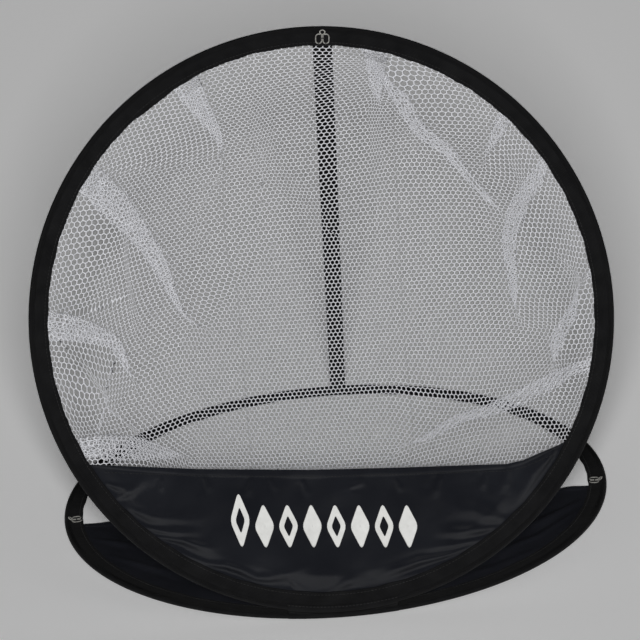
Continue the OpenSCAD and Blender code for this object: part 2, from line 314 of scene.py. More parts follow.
tape_dark, tape_light = (0.0045, 0.0045, 0.0048), (0.012, 0.012, 0.0125)
# The webbing is black, and is painted darker still than the tape for the shade it lies in behind the
# net: painted shade.
webbing_shade_dark, webbing_shade_light = (0.002, 0.002, 0.002), (0.007, 0.007, 0.007)
binding_tape = ribbed_cloth("binding_tape", 1.1 * mm, 0.7 * mm, 0.12 * mm, tape_dark, tape_light)
strap_webbing = ribbed_cloth("strap_webbing", 1.9 * mm, 1.2 * mm, 0.25 * mm, webbing_shade_dark, webbing_shade_light)
print("finishes:", binding_tape.name, strap_webbing.name)

# %% [markdown]
# Coated nylon is thin, dark navy black and rather glossy. Its weave is too fine to see from a
# step away, but small crinkles catch the light, so a ridged noise raises the surface as well. A
# second, slower noise bends the crinkles, or they would all look alike.

# %% Nylon cloth
weave_pitch, weave_share = 0.45 * mm, 0.05
crinkle_scale, crinkle_h, crinkle_strength = 70, 0.5 * mm, 0.55
bend_scale, bend_reach = 22.0, 0.012
tone_scale, gloss_scale = 14, 40
nylon_roughness = (0.34, 0.46)


def nylon(name, dark, light):
    """Fine weave under crinkles, in a colour between dark and light."""
    material, tree, shader = new_finish(name, Specular_IOR_Level=0.5)
    along, across, place = cloth_map(tree)
    warp, weft = threads(tree, along, weave_pitch), threads(tree, across, weave_pitch)
    weave = maths(tree, "MULTIPLY", warp, weft)
    shift = add_node(tree, "TexNoise", {"Vector": place, "Scale": bend_scale, "Detail": 3.0})
    scaled = {0: shift.outputs["Color"], "Scale": bend_reach}
    bent = add_node(tree, "VectorMath", scaled, operation="SCALE")
    moved = add_node(tree, "VectorMath", {0: place, 1: bent.outputs[0]}).outputs[0]
    crinkle = add_node(tree, "TexNoise", {"Vector": moved, "Scale": crinkle_scale, "Detail": 2.0})
    crinkle.noise_type = "RIDGED_MULTIFRACTAL"
    height = maths(tree, "MULTIPLY_ADD", weave, weave_share)
    tree.links.new(crinkle.outputs[0], height.node.inputs[2])
    tone = mottle(tree, place, tone_scale, 0.0, 1.0)
    tree.links.new(shade_between(tree, tone, dark, light), shader.inputs["Base Color"])
    tree.links.new(mottle(tree, place, gloss_scale, *nylon_roughness), shader.inputs["Roughness"])
    raise_surface(tree, shader, height, crinkle_h, crinkle_strength)
    return material


# The floor panel is the same nylon as the lip, painted paler to make up for the weak, grazing light on
# the flat panel: painted light
lip_cloth = nylon("lip_cloth", (0.007, 0.0076, 0.0102), (0.011, 0.0119, 0.0152))
floor_cloth = nylon("floor_cloth", (0.0115, 0.0123, 0.0165), (0.0175, 0.0187, 0.024))
print("finishes:", lip_cloth.name, floor_cloth.name)

# %% [markdown]
# White net yarn is a bundle of fine filaments, so it is matt, and a fine noise stands for its
# fibres. The seams use a dark thread and the print a thick white ink. All three are the same finish
# with other colours and a coarser or finer grain.

# %% Yarn, thread and print
yarn_dullness_scale, fibre_h, fibre_strength = 90, 0.1 * mm, 0.5


def yarn(name, dark, light, grain, roughness):
    """A matt finish with a fine grain, in a colour between dark and light."""
    material, tree, shader = new_finish(name, Sheen_Weight=0.1, Sheen_Roughness=0.6)
    place = add_node(tree, "TexCoord").outputs["Object"]
    tone = mottle(tree, place, grain / 6, 0.0, 1.0, 3.0)
    tree.links.new(shade_between(tree, tone, dark, light), shader.inputs["Base Color"])
    tree.links.new(mottle(tree, place, yarn_dullness_scale, *roughness), shader.inputs["Roughness"])
    fibres = add_node(tree, "TexNoise", {"Vector": place, "Scale": grain, "Detail": 2.0})
    raise_surface(tree, shader, fibres.outputs[0], fibre_h, fibre_strength)
    return material


white_net = yarn("white_net", (0.6, 0.605, 0.635), (0.76, 0.765, 0.8), 2500, (0.5, 0.7))
seam_thread = yarn("seam_thread", (0.004, 0.004, 0.004), (0.012, 0.012, 0.012), 3000, (0.5, 0.65))
white_print = yarn("white_print", (0.66, 0.66, 0.64), (0.74, 0.74, 0.72), 900, (0.45, 0.6))
print("finishes:", white_net.name, seam_thread.name, white_print.name)

# %% [markdown]
# The hooks are nickel-plated wire. The two steel strips and their crimped sleeves lie inside the
# binding, where nobody sees them, but they are real pieces, so they get a metal finish too.

# %% Metals
scratch_h, scratch_strength = 0.02 * mm, 0.4


def metal(name, dark, light, roughness, grain, metallic=1.0):
    """Metal with cloudy brightness and fine scratches."""
    material, tree, shader = new_finish(name, Metallic=metallic)
    place = add_node(tree, "TexCoord").outputs["Object"]
    tone = mottle(tree, place, grain, 0.0, 1.0)
    tree.links.new(shade_between(tree, tone, dark, light), shader.inputs["Base Color"])
    tree.links.new(mottle(tree, place, grain * 2, *roughness), shader.inputs["Roughness"])
    scratches = add_node(tree, "TexNoise", {"Vector": place, "Scale": grain * 8})
    raise_surface(tree, shader, scratches.outputs[0], scratch_h, scratch_strength)
    return material


hook_wire = metal("hook_wire", (0.42, 0.41, 0.38), (0.68, 0.67, 0.63), (0.22, 0.36), 300, 0.55)
spring_steel = metal("spring_steel", (0.3, 0.31, 0.33), (0.45, 0.46, 0.48), (0.3, 0.5), 120)
crimped_sleeve = metal("crimped_sleeve", (0.5, 0.5, 0.5), (0.65, 0.65, 0.64), (0.35, 0.5), 200)
print("finishes:", hook_wire.name, spring_steel.name, crimped_sleeve.name)

# %% Give the metal parts their finish
metal_parts = {
    "left_hook": hook_wire,
    "right_hook": hook_wire,
    "top_hook": hook_wire,
    "base_steel": spring_steel,
    "target_steel": spring_steel,
    "base_sleeve": crimped_sleeve,
    "target_sleeve": crimped_sleeve,
}
for node, finish in metal_parts.items():
    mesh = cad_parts[node].data
    mesh.materials.clear()
    mesh.materials.append(finish)
    for face in mesh.polygons:
        face.use_smooth = node.endswith("hook")
print("exact parts kept and given a finish:", len(metal_parts))

# %% [markdown]
# ## The two bindings
# Each hoop's tape is folded over the steel: a round nose over the strip, then two flat leaves
# that hold the cloth between them. A curve with a bevel would make an even tube. Real tape puckers
# a little at each stitch, so its section is a row of points swept round the hoop instead, and the
# leaves wave slightly, most at their inner edge.

# %% The binding's section
nose_r, leaf_out, leaf_in = 2.3 * mm, 1.5 * mm, 0.8 * mm
steel_r = 251.7 * mm
nose_turns = np.radians(np.arange(90, -91, -15))
nose = [(steel_r + nose_r * math.cos(a), nose_r * math.sin(a)) for a in nose_turns]
# Places are (distance from the hoop's centre, height), in mm
flank = [(248.6, 2.24), (246.9, 2.1), (245.4, 1.78), (243.6, 1.56)]
leaf = [(241.5, 1.5), (239.5, 1.5), (237.6, 1.5)]
leaf_end = [(237.12, 1.38), (237, 1.15), (237.12, 0.92), (237.6, 0.8)]
inside = [(240, 0.8), (244, 0.8), (249.9, 0.8)]
upper = [(r * mm, n * mm) for r, n in flank + leaf + leaf_end + inside]
section = np.array(nose + [(r, -n) for r, n in upper] + upper[::-1])
print("points in the section:", len(section))

# %% Sweep the section round a hoop
ring_steps = 900
pucker_h, ragged_w, leaf_reach = 0.16 * mm, 0.35 * mm, 14 * mm
swell_w, swell_half_turn = 2.4 * mm, math.radians(6)
# Waves of the leaves are (how many round the hoop, where they start, share of the pucker's height)
pucker_waves = ((240, 0, 0.6), (157, 1, 0.5), (23, 2, 0.7))


def binding_points(swell_turn=None):
    """Points of a binding about its hoop's centre: x, y in its plane, n square to it.

    At swell_turn its inner edge runs a little wide, as tape does where it was eased round.
    """
    turn = np.linspace(0, math.tau, ring_steps, endpoint=False)[:, None]
    r, n = section[:, 0][None], section[:, 1][None]
    near_edge = np.clip((steel_r - nose_r - r) / leaf_reach, 0, 1)
    wave = sum(np.sin(turn * count + first) * share for count, first, share in pucker_waves)
    lifted = n + np.sign(n) * pucker_h * wave * near_edge * (np.abs(n) > leaf_in + 0.1 * mm)
    uneven = np.sin(turn * 61) + np.sin(turn * 37 + 2) - 0.6
    ragged = r + near_edge**4 * ragged_w * uneven
    if swell_turn is not None:
        away = (turn - swell_turn + math.pi) % math.tau - math.pi
        ragged = ragged - swell_w * near_edge**2 * np.exp(-((away / swell_half_turn) ** 2))
    points = np.stack([ragged * np.sin(turn), ragged * np.cos(turn), lifted], -1)
    walk = np.concatenate([[0], np.cumsum(np.linalg.norm(np.diff(section, axis=0), axis=1))])
    uv = np.stack(np.broadcast_arrays(turn * steel_r, walk[None]), -1)
    return points, uv


print("points of one binding:", ring_steps * len(section))

# %% Make both bindings
target_swell = math.radians(-33)


def make_binding(name, place, body, node, swell_turn=None):
    """A binding; its map would wrap at the joint, so the first row of points is there twice."""
    points, uv = binding_points(swell_turn)
    points, uv = np.concatenate([points, points[:1]]), np.concatenate([uv, uv[:1]])
    uv[-1, :, 0] = math.tau * steel_r
    rows, columns = points.shape[:2]
    last = columns - 1
    a = np.arange(rows - 1) * columns
    closing = np.stack([a + last, a + columns + last, a + columns, a], -1)
    world = place(points[..., 0], points[..., 1], points[..., 2]).reshape(-1, 3)
    faces = [grid_faces(rows, columns), closing]
    ring = mesh_piece(name, world, faces, binding_tape, uv.reshape(-1, 2))
    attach(ring, body)
    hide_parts(node)
    return ring


def about_base(x, y, n):
    """World points of places about the middle of the base binding."""
    return on_base(x, y, binding_t / 2 + n)


def about_target(x, y, n):
    """World points of places about the middle of the leaning binding."""
    return on_target(x, hoop_r + y, binding_t / 2 + n)


base_ring = make_binding("base_ring", about_base, "base", "base_binding")
target_ring = make_binding("target_ring", about_target, "target", "target_binding", target_swell)
print("binding points:", [len(ring.data.vertices) for ring in (base_ring, target_ring)])

# %% [markdown]
# ## Seams
# A seam is a row of short stitches that dip into the cloth at both ends. An Array modifier along a
# curve could repeat one stitch, but the rows follow creased cloth, so each stitch is placed from
# its own middle and direction. It is a small spindle of thread, and a whole row is one mesh.

# %% One thread
thread_sides = 6


def thread_piece(name, paths, radii, lean_to):
    """Threads along paths of points. lean_to is the direction in which each path bulges."""
    paths, lean_to = np.asarray(paths, float), np.asarray(lean_to, float)
    count, stations = paths.shape[:2]
    heading = np.gradient(paths, axis=1)
    heading /= np.linalg.norm(heading, axis=2, keepdims=True)
    side = np.cross(lean_to, paths[:, -1] - paths[:, 0])
    side /= np.linalg.norm(side, axis=1, keepdims=True)
    side = np.broadcast_to(side[:, None], heading.shape)
    above = np.cross(heading, side)
    k = np.radians(np.arange(thread_sides) * 360 / thread_sides)
    ring = side[:, :, None] * np.cos(k)[:, None] + above[:, :, None] * np.sin(k)[:, None]
    points = paths[:, :, None] + ring * np.asarray(radii)[None, :, None, None]
    a, b = np.meshgrid(np.arange(stations - 1), np.arange(thread_sides), indexing="ij")
    here, onward, after = a * thread_sides, (a + 1) * thread_sides, (b + 1) % thread_sides
    walls = np.stack([here + b, here + after, onward + after, onward + b], -1).reshape(1, -1, 4)
    around = np.arange(thread_sides)
    ends = np.stack([around[::-1], (stations - 1) * thread_sides + around])
    start = np.arange(count)[:, None, None] * stations * thread_sides
    faces = [(walls + start).reshape(-1, 4), (ends[None] + start).reshape(-1, thread_sides)]
    return mesh_piece(name, points.reshape(-1, 3), faces, seam_thread)


print("sides of a thread:", thread_sides)

# %% Rows of stitches
stitch_pitch, stitch_l, thread_r = 3.1 * mm, 2.5 * mm, 0.24 * mm
stitch_along = np.array([-0.5, -0.36, 0, 0.36, 0.5])
stitch_rise = np.array([-1.2, -0.1, 0.35, -0.1, -1.2])
stitch_swell = np.array([0.3, 0.8, 1, 0.8, 0.3])


def stitch_row(name, middles, along, up, length=stitch_l, radius=thread_r):
    """Spindles of thread at the given places: along each stitch, and up off the cloth."""
    middles, along, up = (np.asarray(v, float).reshape(-1, 3) for v in (middles, along, up))
    along = along / np.linalg.norm(along, axis=1, keepdims=True)
    up = up / np.linalg.norm(up, axis=1, keepdims=True)
    at = stitch_along[None, :, None] * length
    high = stitch_rise[None, :, None] * radius
    paths = middles[:, None] + along[:, None] * at + up[:, None] * high
    return thread_piece(name, paths, stitch_swell * radius, up)


seam_r = 239.6 * mm
stitches_round = int(math.tau * seam_r / stitch_pitch)
# The turn to the next place, for a stitch's direction
a_little_on = 0.01


def binding_seam(name, place, body):
    """Stitches round both faces of a binding, near its inner edge."""
    middles, along, up = [], [], []
    turn = np.linspace(0, math.tau, stitches_round, endpoint=False)
    onward = turn + a_little_on
    for face in (1, -1):
        level = face * (leaf_out + 0.02 * mm)
        at = place(seam_r * np.sin(turn), seam_r * np.cos(turn), level)
        ahead = place(seam_r * np.sin(onward), seam_r * np.cos(onward), level)
        above = place(seam_r * np.sin(turn), seam_r * np.cos(turn), level + face * mm)
        middles.append(at)
        along.append(ahead - at)
        up.append(above - at)
    row = stitch_row(name, np.concatenate(middles), np.concatenate(along), np.concatenate(up))
    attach(row, body)


binding_seam("base_seam", about_base, "base")
binding_seam("target_seam", about_target, "target")
print("stitches round each face of a hoop:", stitches_round)

# %% [markdown]
# ## Creases
# Slack nylon falls into creases that start where it is sewn in and die away in the open cloth.
# They could be sculpted, or left to a cloth simulation, but a crease that is a line of points with
# a height and a width falls just where it should, and the stitches and the print can follow it.
# Its profile is a soft crest with a shallow trough beside it, and it fades at both ends, which is
# how pinched cloth looks.


# %% Measure beside a crease
def beside_crease(x, y, line):
    """For points x, y: distance to a line, share of the way along it, distance to one side."""
    steps = np.linalg.norm(np.diff(line, axis=0), axis=1)
    whole, before = steps.sum(), 0.0
    best = np.full(np.shape(x), 1e9)
    share = np.zeros(np.shape(x))
    signed = np.zeros(np.shape(x))
    for (ax, ay), (bx, by), step in zip(line[:-1], line[1:], steps):
        dx, dy = (bx - ax) / step, (by - ay) / step
        t = np.clip((x - ax) * dx + (y - ay) * dy, 0, step)
        off = np.hypot(x - ax - t * dx, y - ay - t * dy)
        closer = off < best
        best = np.where(closer, off, best)
        share = np.where(closer, (before + t) / whole, share)
        signed = np.where(closer, (x - ax) * dy - (y - ay) * dx, signed)
        before += step
    return best, share, signed


print("halfway along a crease and 1 beside it:", beside_crease(0.0, 1.0, np.array([(-2, 0), (2, 0)])))


# %% Raise creases and slow waves
# A crease rises soon, widens, and dies away slowly; shares are of its length
start_w, widening = 0.55, 0.9
rise_share, rise_start = 0.12, 0.35
fall_share, fall_power = 0.4, 1.3
# Its trough, beside the crest, in half widths
trough_depth, trough_at, trough_w, trough_end = 0.45, 1.7, 1.5, 5


def crease_height(x, y, creases):
    """Summed height of creases at points x, y. A crease is (points, height, width), in mm."""
    total = np.zeros(np.shape(x))
    for line, height, width in creases:
        best, share, signed = beside_crease(x, y, np.array(line, float) * mm)
        w = width * mm * (start_w + widening * share)
        rise = np.clip(share / rise_share + rise_start, 0, 1)
        fade = rise * np.clip((1 - share) / fall_share, 0, 1) ** fall_power
        crest = np.exp(-((best / w) ** 2))
        trough = trough_depth * np.exp(-(((signed - trough_at * w) / (trough_w * w)) ** 2))
        trough *= best < trough_end * w
        total += height * mm * fade * (crest - trough)
    return total


def soft_noise(x, y, size, seed):
    """A slow, repeatable waviness of about -1 to 1, from a few crossed sine waves."""
    made = np.zeros(np.shape(x))
    random = np.random.default_rng(seed)
    for _ in range(7):
        a, p = random.uniform(0, math.tau, 2)
        k = math.tau / size * random.uniform(0.6, 1.6)
        made += np.sin(k * (x * math.cos(a) + y * math.sin(a)) + p)
    return made / 3


def eased(t):
    """A share from 0 to 1 with a soft start and a soft end."""
    return t * t * (3 - 2 * t)


middle_h = crease_height(0.0, 0.0, [([(-10, 0), (10, 0)], 2, 3)])
print("height of a 2 mm crease at its middle, in mm:", (middle_h / mm).round(2))

# %% [markdown]
# ## Panels
# The lip and the floor panel are made alike: a segment of nylon whose curved edge is sewn into the
# binding, and whose straight edge is turned over and stitched. Each is a grid whose columns run
# from the hem to the seam, with close rows at the hem, where the cloth is three layers thick. Near
# the binding the hem is pressed flat.

# %% What the panels share
cloth_seam_r = 248 * mm
# Thicknesses in mm
nylon_t, hem_extra_t = 0.4, 0.8
hem_depth, on_hem, press_reach = 6.0 * mm, 0.62 * mm, 6 * mm


def inside_binding(x, y):
    """How far points of a hoop's plane, about its centre, lie inside the binding's inner edge."""
    return binding_in_r - np.hypot(x, y)


def shares_down(hem_rows, first_open, rows):
    """Shares of the way down a panel: close rows at its hem, then even ones."""
    return np.concatenate([hem_rows, np.linspace(first_open, 1, rows - len(hem_rows))])[None]


def panel_thickness(in_hem, from_binding):
    """Thickness of a panel, in metres, which grows in its hem away from the binding."""
    room = np.clip(from_binding / press_reach, 0, 1)
    return np.where(in_hem, nylon_t + hem_extra_t * room, nylon_t) * mm


print("cloth inside a binding in mm:", round((cloth_seam_r - binding_in_r) / mm, 1))

# %% [markdown]
# ## The lip
# The lip's straight edge isn't quite straight: it sags between the two ends of its seam. The cloth
# droops a little, and long creases fan in from the binding on both sides. Small tucks hang from the
# hem, where its stitches draw the cloth up.

# %% The lip's hem and its creases
# Places are x and s, in mm
lip_hem_x = [-222, -208, -160, -117, -21, 57, 118, 150, 164, 179, 197, 218]
lip_hem_s = [145, 142.5, 137, 132, 124, 120, 117.5, 116, 118, 123, 129, 139]
side_creases = [
    ([(-153, 69), (-138, 60), (-115, 49), (-99, 47), (-86, 42), (-73, 34), (-62, 33),
      (-48, 35), (-30, 41), (-11, 41)], 3.4, 3.4),
    ([(-158, 76), (-134, 71), (-119, 65), (-100, 62)], 2.6, 3.0),
    ([(-176, 90), (-165, 84), (-144, 79), (-110, 77)], 2.4, 3.4),
    ([(-179, 102), (-159, 93), (-130, 90), (-98, 89)], 1.8, 5.0),
    ([(-193, 110), (-174, 117), (-167, 124), (-157, 128)], 2.0, 3.4),
    ([(-197, 125), (-179, 119), (-169, 123)], 1.6, 3.0),
    ([(-189, 96), (-173, 74), (-153, 56), (-132, 42)], 1.6, 3.0),
    ([(-103, 37), (-92, 33), (-79, 25), (-63, 20), (-37, 17), (-13, 18)], 2.4, 3.4),
    ([(-43, 30), (-34, 19), (-24, 15)], 1.8, 4.0),
    ([(-21, 14), (-5, 18), (6, 25), (25, 27)], 2.4, 4.0),
    ([(139, 56), (127, 52), (100, 49), (72, 48)], 2.6, 3.2),
    ([(142, 61), (114, 61), (79, 60)], 1.8, 4.0),
    ([(120, 48), (97, 42), (68, 38), (40, 29), (18, 18)], 2.8, 3.0),
    ([(108, 39), (90, 33), (74, 28), (42, 21), (23, 15)], 2.4, 2.8),
    ([(193, 124), (173, 105), (159, 83), (149, 69)], 2.8, 5.5),
    ([(150, 64), (135, 71), (120, 79), (93, 83)], 1.8, 6.0),
    ([(151, 112), (148, 103), (147, 89)], 1.6, 4.5),
]
hem_tucks = [
    ([(-148, 126), (-150, 112)], 1.1, 2.6),
    ([(-111, 124), (-107, 109)], 1.2, 2.8),
    ([(-70, 120), (-76, 104)], 1.2, 3.0),
    ([(-54, 118), (-50, 107)], 1.0, 2.4),
    ([(-27, 115), (-22, 98)], 1.3, 3.0),
    ([(14, 106), (28, 111)], 1.2, 2.6),
    ([(54, 110), (58, 97)], 1.0, 2.6),
    ([(92, 109), (85, 90)], 1.4, 3.4),
    ([(132, 109), (127, 94)], 1.2, 3.0),
]
lip_creases = side_creases + hem_tucks
print("creases in the lip:", len(lip_creases))

# %% The lip's shape
lip_layer_n, lip_belly, belly_turn = 2.7 * mm, 5.5 * mm, 0.8
lip_end_height, least_height = 132 * mm, 0.6 * mm
# Over how many mm from the binding the cloth comes free of it, and its creases come to their height
free_within, creased_within, creased_at_edge = 16, 6, 0.15
# A wave has a height, and a size in metres with the seed of its directions
slow_h, slow_wave = 1.3 * mm, (0.08, 3)
small_h, small_wave = 0.35 * mm, (0.03, 5)


def lip_hem(x):
    """Height of the lip's hem up the slope at x."""
    return np.interp(x / mm, lip_hem_x, lip_hem_s) * mm


def lip_shape(x, s):
    """How far the lip stands out of the mouth at x, s."""
    from_binding = inside_binding(x, s - hoop_r) / mm
    free = eased(np.clip(from_binding / free_within, 0, 1))
    creased = np.clip(from_binding / creased_within + creased_at_edge, 0, 1)
    belly = lip_belly * free * np.cos(x / hoop_r * belly_turn)
    waves = slow_h * free * soft_noise(x, s, *slow_wave) + small_h * free * soft_noise(x, s, *small_wave)
    return lip_layer_n + belly + waves + creased * crease_height(x, s, lip_creases)


def lip_points(columns, rows):
    """A grid of x, s on the lip: each column runs from the hem down to the seam."""
    end = math.acos((hoop_r - lip_end_height) / cloth_seam_r)
    a = np.linspace(-end, end, columns)[:, None]
    x = cloth_seam_r * np.sin(a)
    foot = hoop_r - cloth_seam_r * np.cos(a)
    top = np.maximum(lip_hem(x), foot + least_height)
    down = shares_down([0, 0.006, 0.03, 0.052, 0.06], 0.075, rows)
    return x + 0 * down, top + (foot - top) * down, down + 0 * x


print("lip's height at its middle in mm:", round(lip_hem(0.0) / mm))

# %% Make the lip
lip_columns, lip_rows = 380, 90
lip_hem_share = 0.056
lip_x, lip_s, lip_down = lip_points(lip_columns, lip_rows)
lip_n = lip_shape(lip_x, lip_s)
lip_thick = panel_thickness(lip_down < lip_hem_share, inside_binding(lip_x, lip_s - hoop_r))
lip_uv = np.stack([lip_x, lip_s], -1)
lip = cloth_piece("lip", on_target(lip_x, lip_s, lip_n), lip_uv, lip_thick, lip_cloth)
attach(lip, "target")
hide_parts("lip_panel")

# %% [markdown]
# The hem's stitches follow the lip, a few millimetres below its edge, on both faces.

# %% Stitch the lip's hem
lip_hem_from, lip_hem_to = -196 * mm, 192 * mm
hem_x = np.arange(lip_hem_from, lip_hem_to, stitch_pitch)
next_x = hem_x + 0.5 * mm


def lip_row(x, lift):
    """Places along the hem's stitches at x, lifted off the lip."""
    s = lip_hem(x) - hem_depth
    return on_target(x, s, lip_shape(x, s) + lift)


middles = np.concatenate([lip_row(hem_x, on_hem), lip_row(hem_x, -on_hem)])
ahead = lip_row(next_x, 0) - lip_row(hem_x, 0)
up = np.repeat([out_of_mouth, -out_of_mouth], len(hem_x), axis=0)
lip_stitches = stitch_row("lip_stitches", middles, np.tile(ahead, (2, 1)), up)
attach(lip_stitches, "target")
print("hem stitches:", len(middles))

# %% [markdown]
# ## The print on the lip
# A white print marks the middle of the lip. It is a plain row of lozenges, some solid and some
# open, and the first is a little taller. Ink could be a second colour in the lip's finish, but a
# printed skin has an edge that catches the light, so each lozenge is a thin piece cut to its
# outline that follows every rise of the cloth under it.

# %% Draw one lozenge
side_steps, spoke_points = 26, 9
rounding_depth, rounding_reach = 0.1, 0.1


def lozenge(cx, cs, half_w, half_h, hole):
    """A grid of points of one lozenge: spokes from its hole (0 for none) to its outline."""
    corner = np.linspace(0, 4, 4 * side_steps, endpoint=False)
    side, t = corner.astype(int), corner % 1
    tips = np.array([(0, 1), (1, 0), (0, -1), (-1, 0)], float)
    outline = tips[side] * (1 - t)[:, None] + tips[(side + 1) % 4] * t[:, None]
    rounding = 1 - rounding_depth * np.exp(-((np.minimum(t, 1 - t) / rounding_reach) ** 2))
    outline = outline * rounding[:, None] * [half_w, half_h]
    shares = np.linspace(hole, 1, spoke_points)
    flat = np.array([cx, cs]) + shares[:, None, None] * outline[None]
    return flat.transpose(1, 0, 2) * mm


print("points of a lozenge:", lozenge(0, 0, 1, 1, 0).size // 2)

# %% Print the row of lozenges
# Places and sizes of the lozenges are in mm
lozenge_count = 8
print_left, print_pitch, print_middle = -83.0, 20.6, 73.5
print_slope = math.tan(math.radians(-4.4))
lozenge_half_w, lozenge_half_h, first_half_h = 8.9, 20.5, 25.5
open_share = 0.46
ink_t, ink_under = 0.12 * mm, 0.2 * mm
ink_over = ink_t + 0.24 * mm
ink_points, ink_faces, ink_count = [], [], 0
for k in range(lozenge_count):
    half_h = first_half_h if k == 0 else lozenge_half_h
    cx = print_left + print_pitch * k
    cs = print_middle + print_slope * cx + (half_h - lozenge_half_h)
    flat = lozenge(cx, cs, lozenge_half_w, half_h, 0.0 if k % 2 else open_share)
    rows, columns = flat.shape[:2]
    for lift in (ink_over, ink_under):
        n = lip_shape(flat[..., 0], flat[..., 1]) + lift
        ink_points.append(on_target(flat[..., 0], flat[..., 1], n).reshape(-1, 3))
    quads = grid_faces(rows, columns, closed=True, start=ink_count)
    under = quads[:, ::-1] + rows * columns
    r = np.arange(rows)
    for column in (0, columns - 1):
        a, b = ink_count + r * columns + column, ink_count + (r + 1) % rows * columns + column
        edge = np.stack([a, b, b + rows * columns, a + rows * columns], -1)
        ink_faces.append(edge[:, ::-1] if column else edge)
    ink_faces += [quads, under]
    ink_count += 2 * rows * columns
lozenges = mesh_piece("lozenge_print", np.concatenate(ink_points), ink_faces, white_print)
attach(lozenges, "target")
print("lozenges:", lozenge_count, "points:", ink_count)

# %% [markdown]
# ## The floor panel
# A half circle of nylon fills the front of the base hoop. It lies loose over the ground, so it
# has low ripples, with creases where it is drawn into the binding. Its straight back edge is a
# stitched hem. It is made like the lip, but nothing hangs, so it has no belly.

# %% The floor panel's shape
floor_back_y = -27 * mm
floor_z, floor_lowest, floor_sag = binding_t / 2, 0.9 * mm, 0.5 * mm
floor_free_within = 20  # mm
broad_h, broad_ripple = 0.45 * mm, (0.11, 8)
fine_h, fine_ripple = 0.15 * mm, (0.035, 9)
# Places are x and y, in mm
floor_creases = [
    ([(-228, -60), (-190, -80), (-150, -110), (-120, -150)], 1.3, 6),
    ([(-215, -95), (-170, -130), (-120, -160), (-70, -190)], 1.1, 6),
    ([(228, -55), (190, -90), (150, -120), (100, -150)], 1.6, 6),
    ([(220, -80), (180, -125), (130, -160), (80, -190)], 1.4, 5),
    ([(232, -20), (190, -45), (140, -60)], 1.2, 7),
    ([(-232, -18), (-196, -36), (-150, -48)], 1.0, 7),
    ([(180, -150), (140, -180), (90, -205)], 1.2, 5),
]


def floor_shape(x, y):
    """Height of the floor panel above the ground at x, y."""
    free = np.clip(inside_binding(x, y) / mm / floor_free_within, 0, 1)
    broad = broad_h * soft_noise(x, y, *broad_ripple)
    ripple = -floor_sag + broad + fine_h * soft_noise(x, y, *fine_ripple)
    height = floor_z + free * (ripple + crease_height(x, y, floor_creases))
    return np.maximum(height, floor_lowest)


print("creases in the floor panel:", len(floor_creases))

# %% Make the floor panel
floor_columns, floor_rows = 300, 130
end = math.asin(-floor_back_y / cloth_seam_r)
turn = np.linspace(math.pi + end, math.tau - end, floor_columns)[:, None]
floor_down = shares_down([0, 0.004, 0.02, 0.036, 0.04], 0.06, floor_rows)
floor_x = cloth_seam_r * np.cos(turn) + 0 * floor_down
floor_y = floor_back_y + (cloth_seam_r * np.sin(turn) - floor_back_y) * floor_down
floor_height = floor_shape(floor_x, floor_y)
in_hem = floor_y > floor_back_y - hem_depth - mm
floor_thick = panel_thickness(in_hem, inside_binding(floor_x, floor_y))
floor_uv = np.stack([floor_x, floor_y], -1)
floor_points = on_base(floor_x, floor_y, floor_height)
floor_panel = cloth_piece("floor_cloth_panel", floor_points, floor_uv, floor_thick, floor_cloth)
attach(floor_panel, "base")
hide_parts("floor_panel")

# %% Stitch the floor panel's hem
floor_hem_half = 232 * mm
hem_x = np.arange(-floor_hem_half, floor_hem_half, stitch_pitch)
hem_y = floor_back_y - hem_depth
hem_at = on_base(hem_x, hem_y, floor_shape(hem_x, hem_y) + on_hem)
hem_along = np.tile([1, 0, 0], (len(hem_x), 1))
hem_up = np.tile([0, 0, 1], (len(hem_x), 1))
floor_stitches = stitch_row("floor_stitches", hem_at, hem_along, hem_up)
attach(floor_stitches, "base")
print("floor panel lowest point in mm:", round(float(floor_height.min() / mm), 2))

# %% [markdown]
# ## The net
# The net is a knitted disc larger than the hoop. It is gathered into the binding, broad pleats take
# up more of it, and its slack hangs back and down in a pocket. Sculpting such a pocket would be
# guesswork, so a cloth simulation hangs a flat disc, pinned to the hoop. Where each pleat falls is
# a matter of how the net was sewn, so the pleats are laid into the flat disc one by one. Last, the
# knitted meshes are laid out flat and carried to the hanging shape, so that they stretch, lean and
# bunch up as real ones do.

# %% Lay out the disc
net_seam_r = 242 * mm
net_cut_r = 262 * mm
net_rings = 64
net_layer_n = 2.0 * mm


def disc_points(rings):
    """Radius share and turn of points on a disc: ring k has 6k points, all about evenly spaced."""
    made = [(0.0, 0.0)]
    for k in range(1, rings + 1):
        for j in range(6 * k):
            made.append((k / rings, math.tau * j / (6 * k) - math.pi))
    return np.array(made)


def disc_faces(rings):
    """Triangles between the rings: each of the disc's six sides has one more in every ring."""
    faces = []
    for k in range(1, rings + 1):
        inner, outer = 1 + 3 * (k - 1) * (k - 2), 1 + 3 * k * (k - 1)
        for side in range(6):
            for j in range(k):
                a = outer + side * k + j
                b = outer + (side * k + j + 1) % (6 * k)
                c = inner + (side * (k - 1) + j) % (6 * (k - 1)) if k > 1 else 0
                faces.append((a, b, c))
                if j < k - 1:
                    d = inner + (side * (k - 1) + j + 1) % (6 * (k - 1))
                    faces.append((c, b, d))
    return np.array(faces)


polar = disc_points(net_rings)
net_tris = disc_faces(net_rings)
print("net points:", len(polar), "triangles:", len(net_tris))

# %% [markdown]
# The simulation starts with the disc already dished, deeper towards the foot, where the slack
# gathers. The edge of the disc lies inside the binding and is pinned there.

